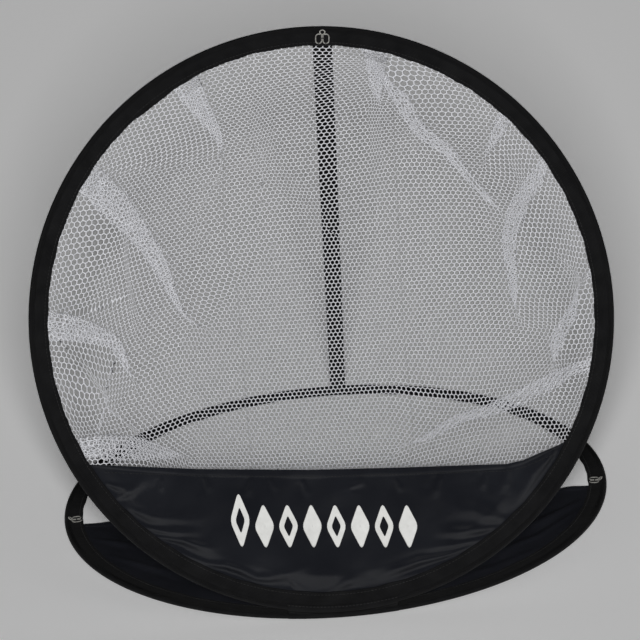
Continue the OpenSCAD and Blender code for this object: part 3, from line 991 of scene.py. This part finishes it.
# %% Dish the disc
in_binding = 0.02
pinned_from = 1 - in_binding
dish_depth = 85 * mm
q, turn = polar[:, 0], polar[:, 1]
flat = net_cut_r * np.stack([q * np.sin(turn), q * np.cos(turn)], -1)
in_slit = np.minimum(net_seam_r - (1 - q) * net_cut_r, net_seam_r)
in_open = q / pinned_from * (net_seam_r - in_binding * net_cut_r)
spread = np.where(q > pinned_from, in_slit, in_open)
dish = -dish_depth * np.clip(1 - (q / pinned_from) ** 2, 0, 1) * (1 - 0.5 * q * np.cos(turn))
start = on_target(spread * np.sin(turn), hoop_r + spread * np.cos(turn), net_layer_n + dish)
print("dished start, deepest in mm:", round(float(dish.min() / mm)))

# %% [markdown]
# Blender keeps the flat disc as the cloth's rest shape, in a shape key, so the yarn keeps its
# length while gravity pulls the net into its pocket.

# %% Hang the net
hang_frames = 40


def hang_net(frames):
    """Places of the disc's points after it has hung for some frames."""
    net = mesh_piece("net_cloth", start, [net_tris], None)
    net.shape_key_add(name="hung")
    cut = net.shape_key_add(name="cut")
    upright = np.stack([flat[:, 0], 0 * flat[:, 0], flat[:, 1]], -1)
    cut.data.foreach_set("co", upright.astype(np.float32).ravel())
    pins = net.vertex_groups.new(name="pins")
    pins.add([int(i) for i in np.flatnonzero(q > pinned_from)], 1.0, "REPLACE")
    cloth = net.modifiers.new("cloth", "CLOTH")
    settings = cloth.settings
    settings.rest_shape_key = cut
    settings.quality = 6
    settings.mass = 0.0004
    settings.air_damping = 2.0
    settings.tension_stiffness = 18
    settings.compression_stiffness = 8
    settings.shear_stiffness = 3
    settings.bending_stiffness = 0.002
    settings.tension_damping = settings.compression_damping = 8
    settings.shear_damping = 4
    settings.bending_damping = 0.5
    settings.vertex_group_mass = "pins"
    cloth.point_cache.frame_end = frames
    for number in range(1, frames + 1):
        scene.frame_set(number)
    hung = net.evaluated_get(bpy.context.evaluated_depsgraph_get())
    points = np.zeros(len(polar) * 3, np.float32)
    hung.data.vertices.foreach_get("co", points)
    bpy.data.objects.remove(net)
    scene.frame_set(1)
    return points.reshape(-1, 3).astype(float)


hung = hang_net(hang_frames)
print("lowest point of the net in mm:", (hung[:, 2].min() / mm).round(1))

# %% Measure the hung net
edges = np.concatenate([net_tris[:, [0, 1]], net_tris[:, [1, 2]]])
hung_l = np.linalg.norm(hung[edges[:, 0]] - hung[edges[:, 1]], axis=1)
flat_l = np.linalg.norm(flat[edges[:, 0]] - flat[edges[:, 1]], axis=1)
depth = (hung - on_target(0, 0, 0)) @ out_of_mouth
print("yarn stretch, middle and most:", np.percentile(hung_l / flat_l, [50, 99]).round(3))
print("net depth in mm:", (depth.min() / mm).round(1))

# %% [markdown]
# ## Pleats
# A pleat starts broad at the binding, where the net doubles back under itself, narrows to a crease
# that runs on into the slack, and fades out at its end. Each is a line on the flat disc, in mm from
# its middle, with the cloth that it takes up on each side of the line, its half width and the
# length of its broad part. Across the line the cloth runs on, back and on again, and beside it the
# meshes are pulled a little wider. A soft fold has no broad part: its meshes only lean and crowd
# together, most of all halfway along. A simulation fine enough to fold such sharp pleats by itself
# would take far longer.

# %% The pleats' lines
# Each is (points, cloth taken up on each side, half width, length of the broad part), in mm
left_pleats = [
    ([(-108, 239), (-94, 207), (-81, 178), (-80, 146), (-102, 116), (-100, 82),
      (-104, 55)], 27.5, 12.5, 78),
    ([(-38, 240), (-37, 205), (-39, 175), (-43, 150)], 6, 13, 0),
    ([(-36, 151), (-14, 123), (7, 96)], 4, 13, 0),
    ([(-211, 156), (-177, 117), (-159, 94), (-144, 66), (-135, 37), (-127, 9), (-107, -3),
      (-85, -19)], 29.3, 13.3, 190),
    ([(-200, 128), (-194, 108), (-195, 79), (-185, 50), (-173, 21), (-163, -5)], 5, 6, 0),
    ([(-261, 21), (-234, 16), (-206, 5), (-194, -6), (-184, -24), (-169, -44),
      (-166, -60)], 31.2, 14.2, 110),
    ([(-243, -20), (-232, -30), (-219, -40), (-204, -49), (-187, -65), (-168, -89)], 8, 5, 0),
    ([(-211, -36), (-217, -66), (-226, -99)], 7, 6, 0),
    ([(-240, -104), (-208, -109), (-167, -116), (-114, -127)], 29.3, 13.3, 105),
]
right_pleats = [
    ([(56, 256), (54, 217), (62, 192), (71, 174), (79, 159)], 25.7, 11.7, 62),
    ([(44, 224), (53, 183), (58, 149), (59, 116)], 5, 9, 0),
    ([(80, 249), (91, 205), (107, 172), (126, 158), (137, 139), (151, 115), (174, 80)], 16.5, 7.5, 230),
    ([(182, 189), (168, 164), (161, 148), (153, 126)], 18.3, 8.3, 50),
    ([(224, 135), (213, 118), (196, 101), (184, 80), (179, 62), (180, 34), (177, 2),
      (183, -20)], 18, 8.2, 260),
    ([(186, 167), (189, 144), (189, 120), (185, 87)], 5, 7, 0),
    ([(260, 31), (245, 10), (233, -8), (220, -26), (212, -48), (209, -65)], 19, 8.6, 200),
    ([(260, 34), (244, 37), (226, 50), (215, 66)], 4, 5, 45),
    ([(255, -61), (228, -69), (206, -81), (174, -94), (149, -106), (117, -113), (87, -125),
      (52, -126)], 14.7, 6.7, 250),
    ([(177, -89), (149, -90), (123, -96), (106, -111), (82, -123)], 6, 11, 0),
]
foot_pleats = [
    ([(-145, -218), (-130, -199), (-98, -175)], 6, 4, 45),
    ([(-14, -262), (-9, -226), (-13, -195)], 6, 4, 45),
    ([(122, -232), (107, -208), (80, -179)], 6, 4, 45),
]
pleats = left_pleats + right_pleats + foot_pleats
print("pleats and soft folds:", len(pleats))

# %% [markdown]
# A line of a few points has corners, and a pleat laid along it would crack there. So its corners
# are rounded, and beside a bend the directions of its near stretches are blended.

# %% Round the lines and measure beside them
near_reach = 12 * mm


def rounded_line(line, rounds=3):
    """A line of points with its corners cut off again and again, which rounds them."""
    line = np.array(line, float) * mm
    for _ in range(rounds):
        near = line[:-1] * 0.75 + line[1:] * 0.25
        far = line[:-1] * 0.25 + line[1:] * 0.75
        line = np.concatenate([line[:1], np.stack([near, far], 1).reshape(-1, 2), line[-1:]])
    return line


def beside_line(points, line):
    """For each point: distance to one side of a line, way along it, and the sideways direction.

    The way and the direction are means over the stretches of line that are about as near as the
    nearest, so that neither jumps inside a bend. The line's whole length comes last.
    """
    step = np.diff(line, axis=0)
    length = np.linalg.norm(step, axis=1)
    ahead = step / length[:, None]
    before = np.cumsum(length) - length
    ways, offs, sides = [], [], []
    for i in range(len(step)):
        away = points - line[i]
        t = np.clip(away @ ahead[i], 0, length[i])
        offs.append(np.linalg.norm(away - t[:, None] * ahead[i], axis=1))
        ways.append(before[i] + t)
        sides.append(away[:, 0] * ahead[i, 1] - away[:, 1] * ahead[i, 0])
    ways, offs, sides = np.array(ways), np.array(offs), np.array(sides)
    nearest = offs.argmin(0)
    columns = np.arange(len(points))
    best = offs[nearest, columns]
    weight = np.exp(-(offs**2 - best**2) / (2 * near_reach**2)) * length[:, None]
    weight /= weight.sum(0)
    heading = weight.T @ ahead
    heading /= np.linalg.norm(heading, axis=1, keepdims=True)
    aside = np.where(sides[nearest, columns] < 0, -best, best)
    return aside, (weight * ways).sum(0), np.stack([heading[:, 1], -heading[:, 0]], 1), length.sum()


print("points of the first pleat's line, rounded:", len(rounded_line(pleats[0][0])))

# %% How much cloth a pleat takes, and how the rim holds
# The crease beyond the broad part: the cloth that it takes up, and its half width in mm
crease_take, crease_half = 3.4 * mm, 2.4
fade_before_end, fade_length, narrowing_power = 12 * mm, 30 * mm, 0.7
# Near the rim, by share of the disc's radius: where points begin to be held, and lie flat again
held_from, held_over, flat_from, flat_over = 0.86, 0.12, 0.978, 0.03


def takes_and_widths(along, whole, take, half, length):
    """Cloth taken up on each side of a pleat or soft fold, and its half width, along its line."""
    done = np.clip(along / whole, 0, 1)
    if not length:
        return take * mm * np.sin(math.pi * done), np.full(len(along), half * mm)
    broad = np.clip(1 - along / (length * mm), 0, 1) ** narrowing_power
    takes = take * mm * broad + crease_take * (1 - done) ** narrowing_power
    fading = np.clip((whole - fade_before_end - along) / fade_length, 0, 1)
    takes *= fading * (2 - fading)
    return takes, (crease_half + (half - crease_half) * broad) * mm


def hold_rim(radius, moved, raised):
    """The folded points, with those near the rim held at their own distance from the middle."""
    share = radius / net_cut_r
    hold = eased(np.clip((share - held_from) / held_over, 0, 1))
    away = np.maximum(np.linalg.norm(moved, axis=1), 1e-9)
    kept_radius = np.minimum(away + (radius - away) * hold, net_cut_r)
    moved *= (kept_radius / away)[:, None]
    raised *= np.clip((flat_from - share) / flat_over, 0, 1)
    return moved, raised


broad_take = takes_and_widths(np.zeros(1), 1.0, *pleats[0][1:])[0][0]
print("cloth that the first pleat takes up at the rim in mm:", round(2 * broad_take / mm, 1))

# %% Lay the pleats into the disc
pleat_search = 150 * mm
least_reach = 32 * mm
# Heights of a pleat's upper layer and of the ridge along it, by the cloth that it takes up
layer_h, ridge_h = 0.18, 0.36
# The ridge's width, in half widths of the pleat
ridge_w = 2.2


def fold_pleats(points):
    """Lay the pleats into flat points: their places on the disc, and their height off it."""
    radius = np.linalg.norm(points, axis=1)
    moved, raised = points.copy(), np.zeros(len(points))
    for line, take, half, length in pleats:
        line = rounded_line(line)
        low, high = line.min(0) - pleat_search, line.max(0) + pleat_search
        near = np.flatnonzero((points > low).all(1) & (points < high).all(1))
        aside, along, sideways, whole = beside_line(points[near], line)
        takes, width = takes_and_widths(along, whole, take, half, length)
        reach = least_reach + 2 * takes
        turned = np.clip(aside / width, -1, 1)
        dying = np.exp(-((np.maximum(np.abs(aside) - width, 0) / reach) ** 2))
        moved[near] -= sideways * (takes * turned * dying)[:, None]
        ridge = np.exp(-((aside / (ridge_w * width)) ** 2))
        raised[near] += (layer_h * turned * dying + ridge_h * ridge) * takes
    return hold_rim(radius, moved, raised)


furthest = np.linalg.norm(fold_pleats(flat)[0] - flat, axis=1).max()
print("furthest that a pleat moves the cloth in mm:", round(float(furthest / mm), 1))

# %% [markdown]
# ## Knitting the meshes
# The meshes are hexagons, so every knot joins three strands. A sheet with painted holes would look
# flat, and a Wireframe modifier would give square strands. Here each strand gets a lozenge-shaped
# section: a ridge in front, a ridge behind, and an edge on each side. The edges meet at the three
# corners round each knot, so the strands make one closed skin.

# %% Gather the knitted cut into the disc
# The knitted cut is larger than the disc: towards the rim its meshes are crowded along the radius
crowd_from, crowd_over, crowd_most = 100 * mm, 140 * mm, 0.28
disc_r = np.linspace(0, net_cut_r, 400)
crowding = 1 - crowd_most * eased(np.clip((disc_r - crowd_from) / crowd_over, 0, 1))
knit_at = np.concatenate([[0], np.cumsum(np.diff(disc_r) / (crowding[1:] + crowding[:-1]) * 2)])
knit_r = knit_at[-1]


def gather(points):
    """The knitted cut's points, crowded towards the rim until they fit the disc."""
    radius = np.maximum(np.linalg.norm(points, axis=1), 1e-9)
    return points * (np.interp(radius, knit_at, disc_r) / radius)[:, None]


print("knitted cut across in mm:", round(2 * knit_r / mm), "disc:", round(2 * net_cut_r / mm))

# %% [markdown]
# To carry a point, its triangle is found on the flat disc and its place in it is kept. The
# triangles of the hung net are flat, so the carried points are bulged towards a smooth surface, or
# each triangle would show as a facet.

# %% Carry points from the flat disc to the hanging net
bulge = 0.6
flat_tree = BVHTree.FromPolygons([(x, y, 0.0) for x, y in flat], net_tris.tolist())
normals = np.zeros_like(hung)
sides = hung[net_tris]
face_normal = np.cross(sides[:, 1] - sides[:, 0], sides[:, 2] - sides[:, 0])
for corner in range(3):
    np.add.at(normals, net_tris[:, corner], face_normal)
normals /= np.linalg.norm(normals, axis=1, keepdims=True)
if (normals @ out_of_mouth).mean() < 0:
    normals = -normals


def carry(points):
    """Places and normals on the hanging net of points on the knitted cut, pleats included."""
    points, raised = fold_pleats(gather(points))
    found = np.array([flat_tree.find_nearest((x, y, 0.0))[2] for x, y in points])
    tri = net_tris[found]
    a, b, c = flat[tri[:, 0]], flat[tri[:, 1]], flat[tri[:, 2]]
    area = np.cross(b - a, c - a)
    wb = np.cross(points - a, c - a) / area
    wc = np.cross(b - a, points - a) / area
    weights = np.stack([1 - wb - wc, wb, wc], 1)[..., None]
    corner, normal = hung[tri], normals[tri]
    on_flat = (weights * corner).sum(1)
    reach = ((on_flat[:, None] - corner) * normal).sum(-1, keepdims=True)
    curved = (weights * (on_flat[:, None] - reach * normal)).sum(1)
    smooth = (weights * normal).sum(1)
    smooth /= np.linalg.norm(smooth, axis=1, keepdims=True)
    return (1 - bulge) * on_flat + bulge * curved + smooth * raised[:, None], smooth


print("middle of the hanging net:", carry(np.zeros((1, 2)))[0][0].round(3))

# %% [markdown]
# The knots stand in rows of holes, each row half a mesh on from the last. Every hole has one knot
# above it and one below it, so the holes number the knots, and three kinds of strand join them.

# %% Lay out the knots
mesh_pitch = 4.2 * mm
strand_w, strand_t = 1.0 * mm, 0.55 * mm
edge_room = 1.2 * mm
knot_gap = mesh_pitch / math.sqrt(3)
row_gap = mesh_pitch * math.sqrt(3) / 2
span = int(knit_r / row_gap) + 3
side = 2 * span + 1
row, column = np.meshgrid(np.arange(side), np.arange(side), indexing="ij")
hole_x = mesh_pitch * (column - span + 0.5 * (row % 2))
hole_y = row_gap * (row - span)
hole = np.stack([hole_x, hole_y], -1).reshape(-1, 2)
# Hole i has knot i above it and knot i + len(hole) below it
knots = np.concatenate([hole + [0, knot_gap], hole - [0, knot_gap]])
print("places for holes:", len(hole))

# %% Join the knots with strands
# A strand from hole to hole: rows up, columns on, and its slot at both knots. A knot's slots are 0
# to 2, and slot k lies between its corners k and k + 1
ways = ((1, row % 2 - 1, 1, 2), (1, row % 2, 2, 0), (2, 0 * row, 0, 1))
own = row * side + column
strands = []
for rise, shift, slot_a, slot_b in ways:
    there = column + shift
    fits = (row + rise < side) & (there >= 0) & (there < side)
    other = (row + rise) * side + there + side * side
    slots = [np.full(fits.sum(), slot) for slot in (slot_a, slot_b)]
    strands.append(np.stack([own[fits], other[fits], *slots], -1))
strands = np.concatenate(strands)
inside = np.linalg.norm(knots, axis=1) < knit_r - edge_room
strands = strands[inside[strands[:, :2]].all(1)]
used = np.unique(strands[:, :2])
print("knots:", len(used), "strands:", len(strands))

# %% [markdown]
# Five points make a knot: a ridge point in front, one behind, and three corners between its
# strands. A strand joins two knots with four narrow faces, and a cut strand ends in a flat face.
# No two knots of a real net sit quite alike, so each is moved a little at random.

# %% Place the points of every knot
wobble_w, wobble_seed = 0.11 * mm, 11
corner_reach = strand_w / math.sqrt(3)
corner_turn = np.radians([[30, 150, 270]] * side**2 + [[90, 210, 330]] * side**2)
corners = knots[:, None] + corner_reach * np.stack([np.cos(corner_turn), np.sin(corner_turn)], -1)
wobble = np.random.default_rng(wobble_seed).normal(0, wobble_w, (len(used), 1, 2))
flat_points = np.concatenate([knots[used][:, None], corners[used]], 1) + wobble
carried, square_to = (v.reshape(-1, 4, 3) for v in carry(flat_points.reshape(-1, 2)))
ridge = square_to[:, :1] * strand_t / 2
knot_points = np.concatenate([carried[:, :1] + ridge, carried[:, :1] - ridge, carried[:, 1:]], 1)
first = np.zeros(len(knots), int)
first[used] = 5 * np.arange(len(used))
print("points of the net:", 5 * len(used))


# %% Build the strands
def net_part(name, some):
    """A part of the net, from its strands, with a flat face wherever a strand is missing."""
    a, b, slot_a, slot_b = some.T
    a_right, a_left = first[a] + 2 + slot_a, first[a] + 2 + (slot_a + 1) % 3
    b_left, b_right = first[b] + 2 + slot_b, first[b] + 2 + (slot_b + 1) % 3
    a_front, b_front = first[a], first[b]
    walls = [
        (a_front, b_front, b_left, a_left),
        (a_front, a_right, b_right, b_front),
        (a_front + 1, a_left, b_left, b_front + 1),
        (a_front + 1, b_front + 1, b_right, a_right),
    ]
    present = np.zeros((len(knots), 3), bool)
    present[a, slot_a] = present[b, slot_b] = True
    knot, slot = np.nonzero(present.any(1)[:, None] & ~present)
    start = first[knot]
    walls.append((start, start + 2 + slot, start + 1, start + 2 + (slot + 1) % 3))
    faces = np.concatenate([np.stack(wall, -1) for wall in walls])
    kept_points, faces = np.unique(faces, return_inverse=True)
    points = knot_points.reshape(-1, 3)[kept_points]
    return mesh_piece(name, points, [faces.reshape(-1, 4)], white_net)


print("faces along the strands:", 4 * len(strands))

# %% [markdown]
# The net is made in three strips side by side, left, middle and right, only to keep each mesh
# light. Each holds a third of the yarn.

# %% Make the net's three strips
strip_half = 0.265 * knit_r
hoop_middle = on_target(0, hoop_r, net_layer_n).tolist()
strip = np.digitize(knots[strands[:, :2], 0].mean(1), [-strip_half, strip_half])
for number, name in enumerate(("net_left", "net_middle", "net_right")):
    part = net_part(name, strands[strip == number])
    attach(part, "target")
    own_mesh(part)
    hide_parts("net_pocket")
    print(name, "faces:", len(part.data.polygons))

# %% [markdown]
# ## The strap
# A length of webbing ties the top of the leaning hoop to the back of the base, and stops the hoop
# when it has leaned far enough. Both of its ends are sewn flat to the bindings. A curve with a flat
# bevel would twist at its bends, so a grid of points follows the run, with soft bends where it
# leaves the seams. The webbing narrows a little towards the ground, where it cups.

# %% The strap's run
strap_top_x, strap_foot_x = 19 * mm, 10.5 * mm
strap_w, strap_t = 17 * mm, 1.2 * mm
# The middles of its two seams, and how far the webbing lies flat on each side of them
top_seam_s, foot_seam_y, seam_half = 498 * mm, 244 * mm, 6.2 * mm
gap_at_top, gap_at_foot = 0.3 * mm, 0.1 * mm
strap_n = -(gap_at_top + strap_t / 2)
strap_z = binding_t + gap_at_foot + strap_t / 2
strap_top = on_target(strap_top_x, top_seam_s + seam_half, strap_n)
strap_top_bend = on_target(strap_top_x, top_seam_s - seam_half, strap_n)
strap_foot_bend = on_base(strap_foot_x, foot_seam_y - seam_half, strap_z)
strap_foot = on_base(strap_foot_x, foot_seam_y + seam_half, strap_z)
corners_of_run = np.array([strap_top, strap_top_bend, strap_foot_bend, strap_foot])
bend_l, strap_steps = 4 * mm, 560


def soft_run(corners, bend, steps):
    """Points along a line of corners, each corner rounded off over the length bend."""
    legs = np.linalg.norm(np.diff(corners, axis=0), axis=1)
    reach = np.concatenate([[0], np.cumsum(legs)])
    even = np.linspace(0, reach[-1], steps)
    made = np.zeros((steps, 3))
    blur = np.linspace(-bend, bend, 21)
    room = np.clip(np.minimum(even, reach[-1] - even) / bend, 0, 1)
    for shift in blur:
        walk = np.clip(even + shift * room, 0, reach[-1])
        made += np.stack([np.interp(walk, reach, corners[:, i]) for i in range(3)], -1)
    return made / len(blur), even


strap_line, strap_walk = soft_run(corners_of_run, bend_l, strap_steps)
print("strap length in mm:", round(strap_walk[-1] / mm))

# %% Make the strap
narrowing, cup_h, edge_thinning = 0.13, 2.2 * mm, 0.25
wave_h, wave_rate = 0.15 * mm, 55
across_strap = np.linspace(-1, 1, 15)[None]
share = (strap_walk / strap_walk[-1])[:, None]
# The cupping grows down the strap and ends just before the seam at its foot
cup_growth, flat_share = 1.1, 0.03
cup = np.clip(share * cup_growth, 0, 1) ** 2 * np.clip((1 - share) / flat_share, 0, 1)
heading = np.gradient(strap_line, axis=0)
square = np.stack([0 * heading[:, 0], -heading[:, 2], heading[:, 1]], -1)
square /= np.linalg.norm(square, axis=1, keepdims=True)
lifted = cup_h * cup * across_strap**2 + wave_h * np.sin(strap_walk * wave_rate)[:, None] * cup
strap_grid = strap_line[:, None] + square[:, None] * lifted[..., None]
strap_grid[..., 0] += strap_w / 2 * across_strap * (1 - narrowing * cup)
strap_thick = strap_t * (1 - edge_thinning * across_strap**8) + 0 * share
strap_uv = np.stack(np.broadcast_arrays(strap_walk[:, None], across_strap * strap_w / 2), -1)
strap = cloth_piece("strap", strap_grid, strap_uv, strap_thick, strap_webbing)
print("points of the strap:", len(strap.data.vertices))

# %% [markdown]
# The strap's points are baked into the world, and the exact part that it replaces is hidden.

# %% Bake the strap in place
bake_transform(strap)
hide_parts("rear_strap")

# %% [markdown]
# Each end of the strap is held by a bar tack: two bars of close stitches across it, joined by a row
# along each side.

# %% Sew the strap's ends
bar_x = np.arange(-7.2, 7.21, 0.9) * mm
bar_runs = (-4.2 * mm, 4.2 * mm)
side_x = (-7.0 * mm, 7.0 * mm)
side_runs = np.arange(-3.2, 3.3, 1.6) * mm
tack_stitch_l, tack_thread_r = 1.7 * mm, 0.28 * mm


def bar_tack(name, place, body, strap_x, away):
    """Two bars of thread across the strap and a row up each side of it."""
    middles, along = [], []
    level = strap_t / 2
    origin = place(0, 0, level)
    for run in bar_runs:
        middles += [place(strap_x + x, run, level) for x in bar_x]
        along += [place(0.3 * mm, mm, level) - origin] * len(bar_x)
    for x in side_x:
        middles += [place(strap_x + x, run, level) for run in side_runs]
        along += [place(0, mm, level) - origin] * len(side_runs)
    up = [away] * len(middles)
    tack = stitch_row(name, middles, along, up, tack_stitch_l, tack_thread_r)
    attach(tack, body)
    return len(middles)


def on_strap_top(x, run, level):
    """World points about the seam at the strap's top: run along the strap, level off it."""
    return on_target(x, top_seam_s + run, strap_n - level)


def on_strap_foot(x, run, level):
    """World points about the seam at the strap's foot: run along the strap, level off it."""
    return on_base(x, foot_seam_y + run, strap_z + level)


tacked = bar_tack("strap_top_tack", on_strap_top, "target", strap_top_x, -out_of_mouth)
tacked += bar_tack("strap_foot_tack", on_strap_foot, "base", strap_foot_x, [0, 0, 1])
print("strap stitches:", tacked)

# %% [markdown]
# ## The hinge tape
# At the front, where the two hoops touch, one piece of tape wraps the outside of both bindings.
# It is the hinge. Its path is drawn at each place across it, round the nose of the base's binding
# and up round the nose of the other, because the gap between two round hoops changes from place to
# place.

# %% The hinge tape's path
hinge_half, hinge_columns = 48 * mm, 97
hinge_t, hinge_lap = 0.7 * mm, 3 * mm
hinge_gap = 0.1 * mm
hinge_r = nose_r + hinge_gap + hinge_t / 2
base_turns = np.radians(np.linspace(205, 130, 14))
target_turns = np.radians(np.linspace(184, 90, 16))
lap_shares = np.array([0.35, 0.7, 1])


def hoop_back(x):
    """How far a hoop's outside has curved back at x."""
    return hoop_r - np.sqrt(hoop_r**2 - x**2)


def hinge_line(x):
    """The tape's path at x, from under the base's nose up the front of the leaning hoop's."""
    back = hoop_back(x)
    y = back - steel_r + hinge_r * np.cos(base_turns)
    low = on_base(x, y, binding_t / 2 + hinge_r * np.sin(base_turns))
    s = nose_r + back + hinge_r * np.cos(target_turns)
    high = on_target(x, s, nose_r + hinge_r * np.sin(target_turns))
    lap = on_target(x, nose_r + back + hinge_lap * lap_shares, nose_r + hinge_r)
    return np.concatenate([low, high, lap])


print("points across the tape:", len(hinge_line(0.0)))

# %% Make the hinge tape
hinge_x = np.linspace(-hinge_half, hinge_half, hinge_columns)
hinge_grid = np.array([hinge_line(x) for x in hinge_x])[:, ::-1]
hinge_steps = np.linalg.norm(np.diff(hinge_grid, axis=1), axis=2)
hinge_walk = np.concatenate([np.zeros((hinge_columns, 1)), hinge_steps.cumsum(1)], 1)
hinge_uv = np.stack([np.broadcast_to(hinge_x[:, None], hinge_walk.shape), hinge_walk], -1)
hinge = cloth_piece("hinge", hinge_grid, hinge_uv, hinge_t, binding_tape)
# Two points in the gap between the noses, at these heights
bend_low, bend_high = 4.5 * mm, 5.2 * mm
low_end, high_end = on_base(0, hinge_y, bend_low), on_base(0, hinge_y, bend_high)
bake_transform(hinge)
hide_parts("hinge_tape")
print("hinge tape length in mm:", round(2 * hinge_half / mm))

# %% Sew the hinge tape
sew_x = stitch_pitch * np.arange(-15, 16)
slant = sew_x / np.sqrt(hoop_r**2 - sew_x**2)
sew_share = 0.6
sew_s = nose_r + hoop_back(sew_x) + sew_share * hinge_lap
sew_at = on_target(sew_x, sew_s, nose_r + hinge_r + hinge_t / 2)
sew_along = on_target(1, slant, 0) - on_target(0, 0 * slant, 0)
sew_up = np.tile(out_of_mouth, (len(sew_x), 1))
hinge_seam = stitch_row("hinge_seam", sew_at, sew_along, sew_up)
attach(hinge_seam, "target")
print("stitches along the hinge tape:", len(sew_x))

# %% [markdown]
# ## Threads over the hooks
# Each wire hook has two loops that lie on the binding. Two turns of thread over each loop, and two
# over both shanks, hold it down. A turn of thread is an arch over the wire, so the helper that made
# the stitches makes it too.

# %% Arches of thread
# The hook's loops and shanks, in its own plane and in mm: x across, y outwards
loop_x, loop_y, shank_y = 3.15, 0.55, (4.7, 5.2)
thread_beside, over_loop, over_shanks = 0.25, 0.95, 1.45
hook_foot_r = 238 * mm
wire_d = 1.0 * mm
binding_gap = 0.1 * mm
arch = np.radians(np.linspace(180, 0, 9))
arch_h, sunk = wire_d + binding_gap + 0.2 * mm, 0.05 * mm


def hook_threads(name, place, body):
    """Arches of thread across a hook's wires, in the hook's own plane: x across, y outwards."""
    # Each is (x, y, half its length, how far it runs across and outwards)
    arches = [
        (side * loop_x + step, loop_y, over_loop, 0, 1)
        for side in (-1, 1)
        for step in (-thread_beside, thread_beside)
    ]
    arches += [(0, y, over_shanks, 1, 0.08) for y in shank_y]
    paths, tops = [], []
    for middle_x, middle_y, half, across, outwards in arches:
        out = half * np.cos(arch) * mm
        high = arch_h * np.sin(arch) ** 0.6 - sunk
        paths.append(place(middle_x * mm + across * out, middle_y * mm + outwards * out, high))
        tops.append(place(middle_x * mm, middle_y * mm, mm) - place(middle_x * mm, middle_y * mm, 0))
    made = thread_piece(name, paths, np.full(len(arch), thread_r), tops)
    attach(made, body)
    return len(paths)


print("height of a thread over the wire in mm:", round(arch_h / mm, 2))

# %% Sew the hooks
hook_front = math.radians(5)
top_turn = math.asin(strap_top_x / hook_foot_r)


def on_left_hook(x, y, n):
    """World points in the left hook's own plane, n above the binding."""
    out = -hook_foot_r - y
    front, side = math.sin(hook_front), math.cos(hook_front)
    return on_base(out * side - x * front, out * front + x * side, binding_t + n)


def on_right_hook(x, y, n):
    """The same for the right hook, which mirrors the left one."""
    return on_left_hook(-x, y, n) * [-1, 1, 1]


def on_top_hook(x, y, n):
    """The same for the hook at the top of the leaning hoop, over the strap."""
    out = hook_foot_r + y
    across = x * math.cos(top_turn) + out * math.sin(top_turn)
    up = -x * math.sin(top_turn) + out * math.cos(top_turn)
    return on_target(across, hoop_r + up, binding_t + n)


arches_made = hook_threads("left_hook_threads", on_left_hook, "base")
arches_made += hook_threads("right_hook_threads", on_right_hook, "base")
arches_made += hook_threads("top_hook_threads", on_top_hook, "target")
print("threads over the hooks:", arches_made)

# %% [markdown]
# ## Floor and light
# A pale floor runs back far enough to fill the picture, and keeps the net's shadow. The main
# light is a round soft lamp on the camera's side, so the shadow of the net falls behind it and
# the meshes stand out white. It makes no shine, as if it were polarised, because it would turn
# the black cloth grey. The light on a floor fades with nearly the third power of its distance
# from the lamp, so for the camera the floor's colour grows paler by as much, and it looks even
# all over. Soft boxes above and at the sides make the nylon and wire shine.

# %% Floor
floor_white = 1.1
floor_grey, floor_pale_grey = (0.79, 0.79, 0.79), (0.81, 0.81, 0.81)
main_lamp_place = aim + backward * 3.2
fade_reach, fade_power = 3.1, 2.7
floor_paint, tree, shader = new_finish("floor_paint", Roughness=0.9, Specular_IOR_Level=0.1)
place = add_node(tree, "TexCoord").outputs["Object"]
grey = shade_between(tree, mottle(tree, place, 3, 0.0, 1.0), floor_grey, floor_pale_grey)
apart = add_node(tree, "VectorMath", {0: place, 1: main_lamp_place}, operation="DISTANCE")
even = maths(tree, "POWER", maths(tree, "MULTIPLY", apart.outputs["Value"], 1 / fade_reach), fade_power)
pale = add_node(tree, "CombineColor")
for channel in range(3):
    tree.links.new(maths(tree, "MULTIPLY", even, floor_white), pale.inputs[channel])
rays = add_node(tree, "LightPath").outputs
seen = maths(tree, "MAXIMUM", rays["Is Camera Ray"], rays["Is Glossy Ray"])
shown = add_node(tree, "Mix", {"Factor": seen}, data_type="RGBA")
tree.links.new(grey, shown.inputs["A"])
tree.links.new(pale.outputs[0], shown.inputs["B"])
tree.links.new(shown.outputs["Result"], shader.inputs["Base Color"])
ground_corners, ground_z = [(-4, -3.5), (4, -3.5), (4, 6), (-4, 6)], -0.05 * mm
ground_points = np.array([(x, y, ground_z) for x, y in ground_corners])
ground = mesh_piece("ground", ground_points, [np.array([[0, 1, 2, 3]])], floor_paint)
print("ground in metres:", [round(v, 1) for v in ground.dimensions])


# %% Lamps and world
def lamp(name, size, place, power):
    """A round lamp that shines at the middle of the net."""
    data = bpy.data.lights.new(name, "AREA")
    data.shape, data.size, data.energy = "DISK", size, power
    made = bpy.data.objects.new(name, data)
    made.location = place
    made.rotation_euler = (aim - Vector(place)).to_track_quat("-Z", "Y").to_euler()
    scene.collection.objects.link(made)
    return made


main_lamp = lamp("main lamp", 0.5, main_lamp_place, 78)
main_lamp.visible_glossy = False
lamp("top box", 0.7, (0.2, -0.9, 2.0), 1.0)
lamp("left box", 0.7, (-1.9, -1.0, 0.7), 0.8)
lamp("right box", 0.7, (1.9, -0.8, 0.9), 0.8)
world = bpy.data.worlds.new("studio")
scene.world = world
world.use_nodes = True
sky = world.node_tree.nodes["Background"]
sky.inputs["Color"].default_value = (1, 1, 1, 1)
sky.inputs["Strength"].default_value = 0.012
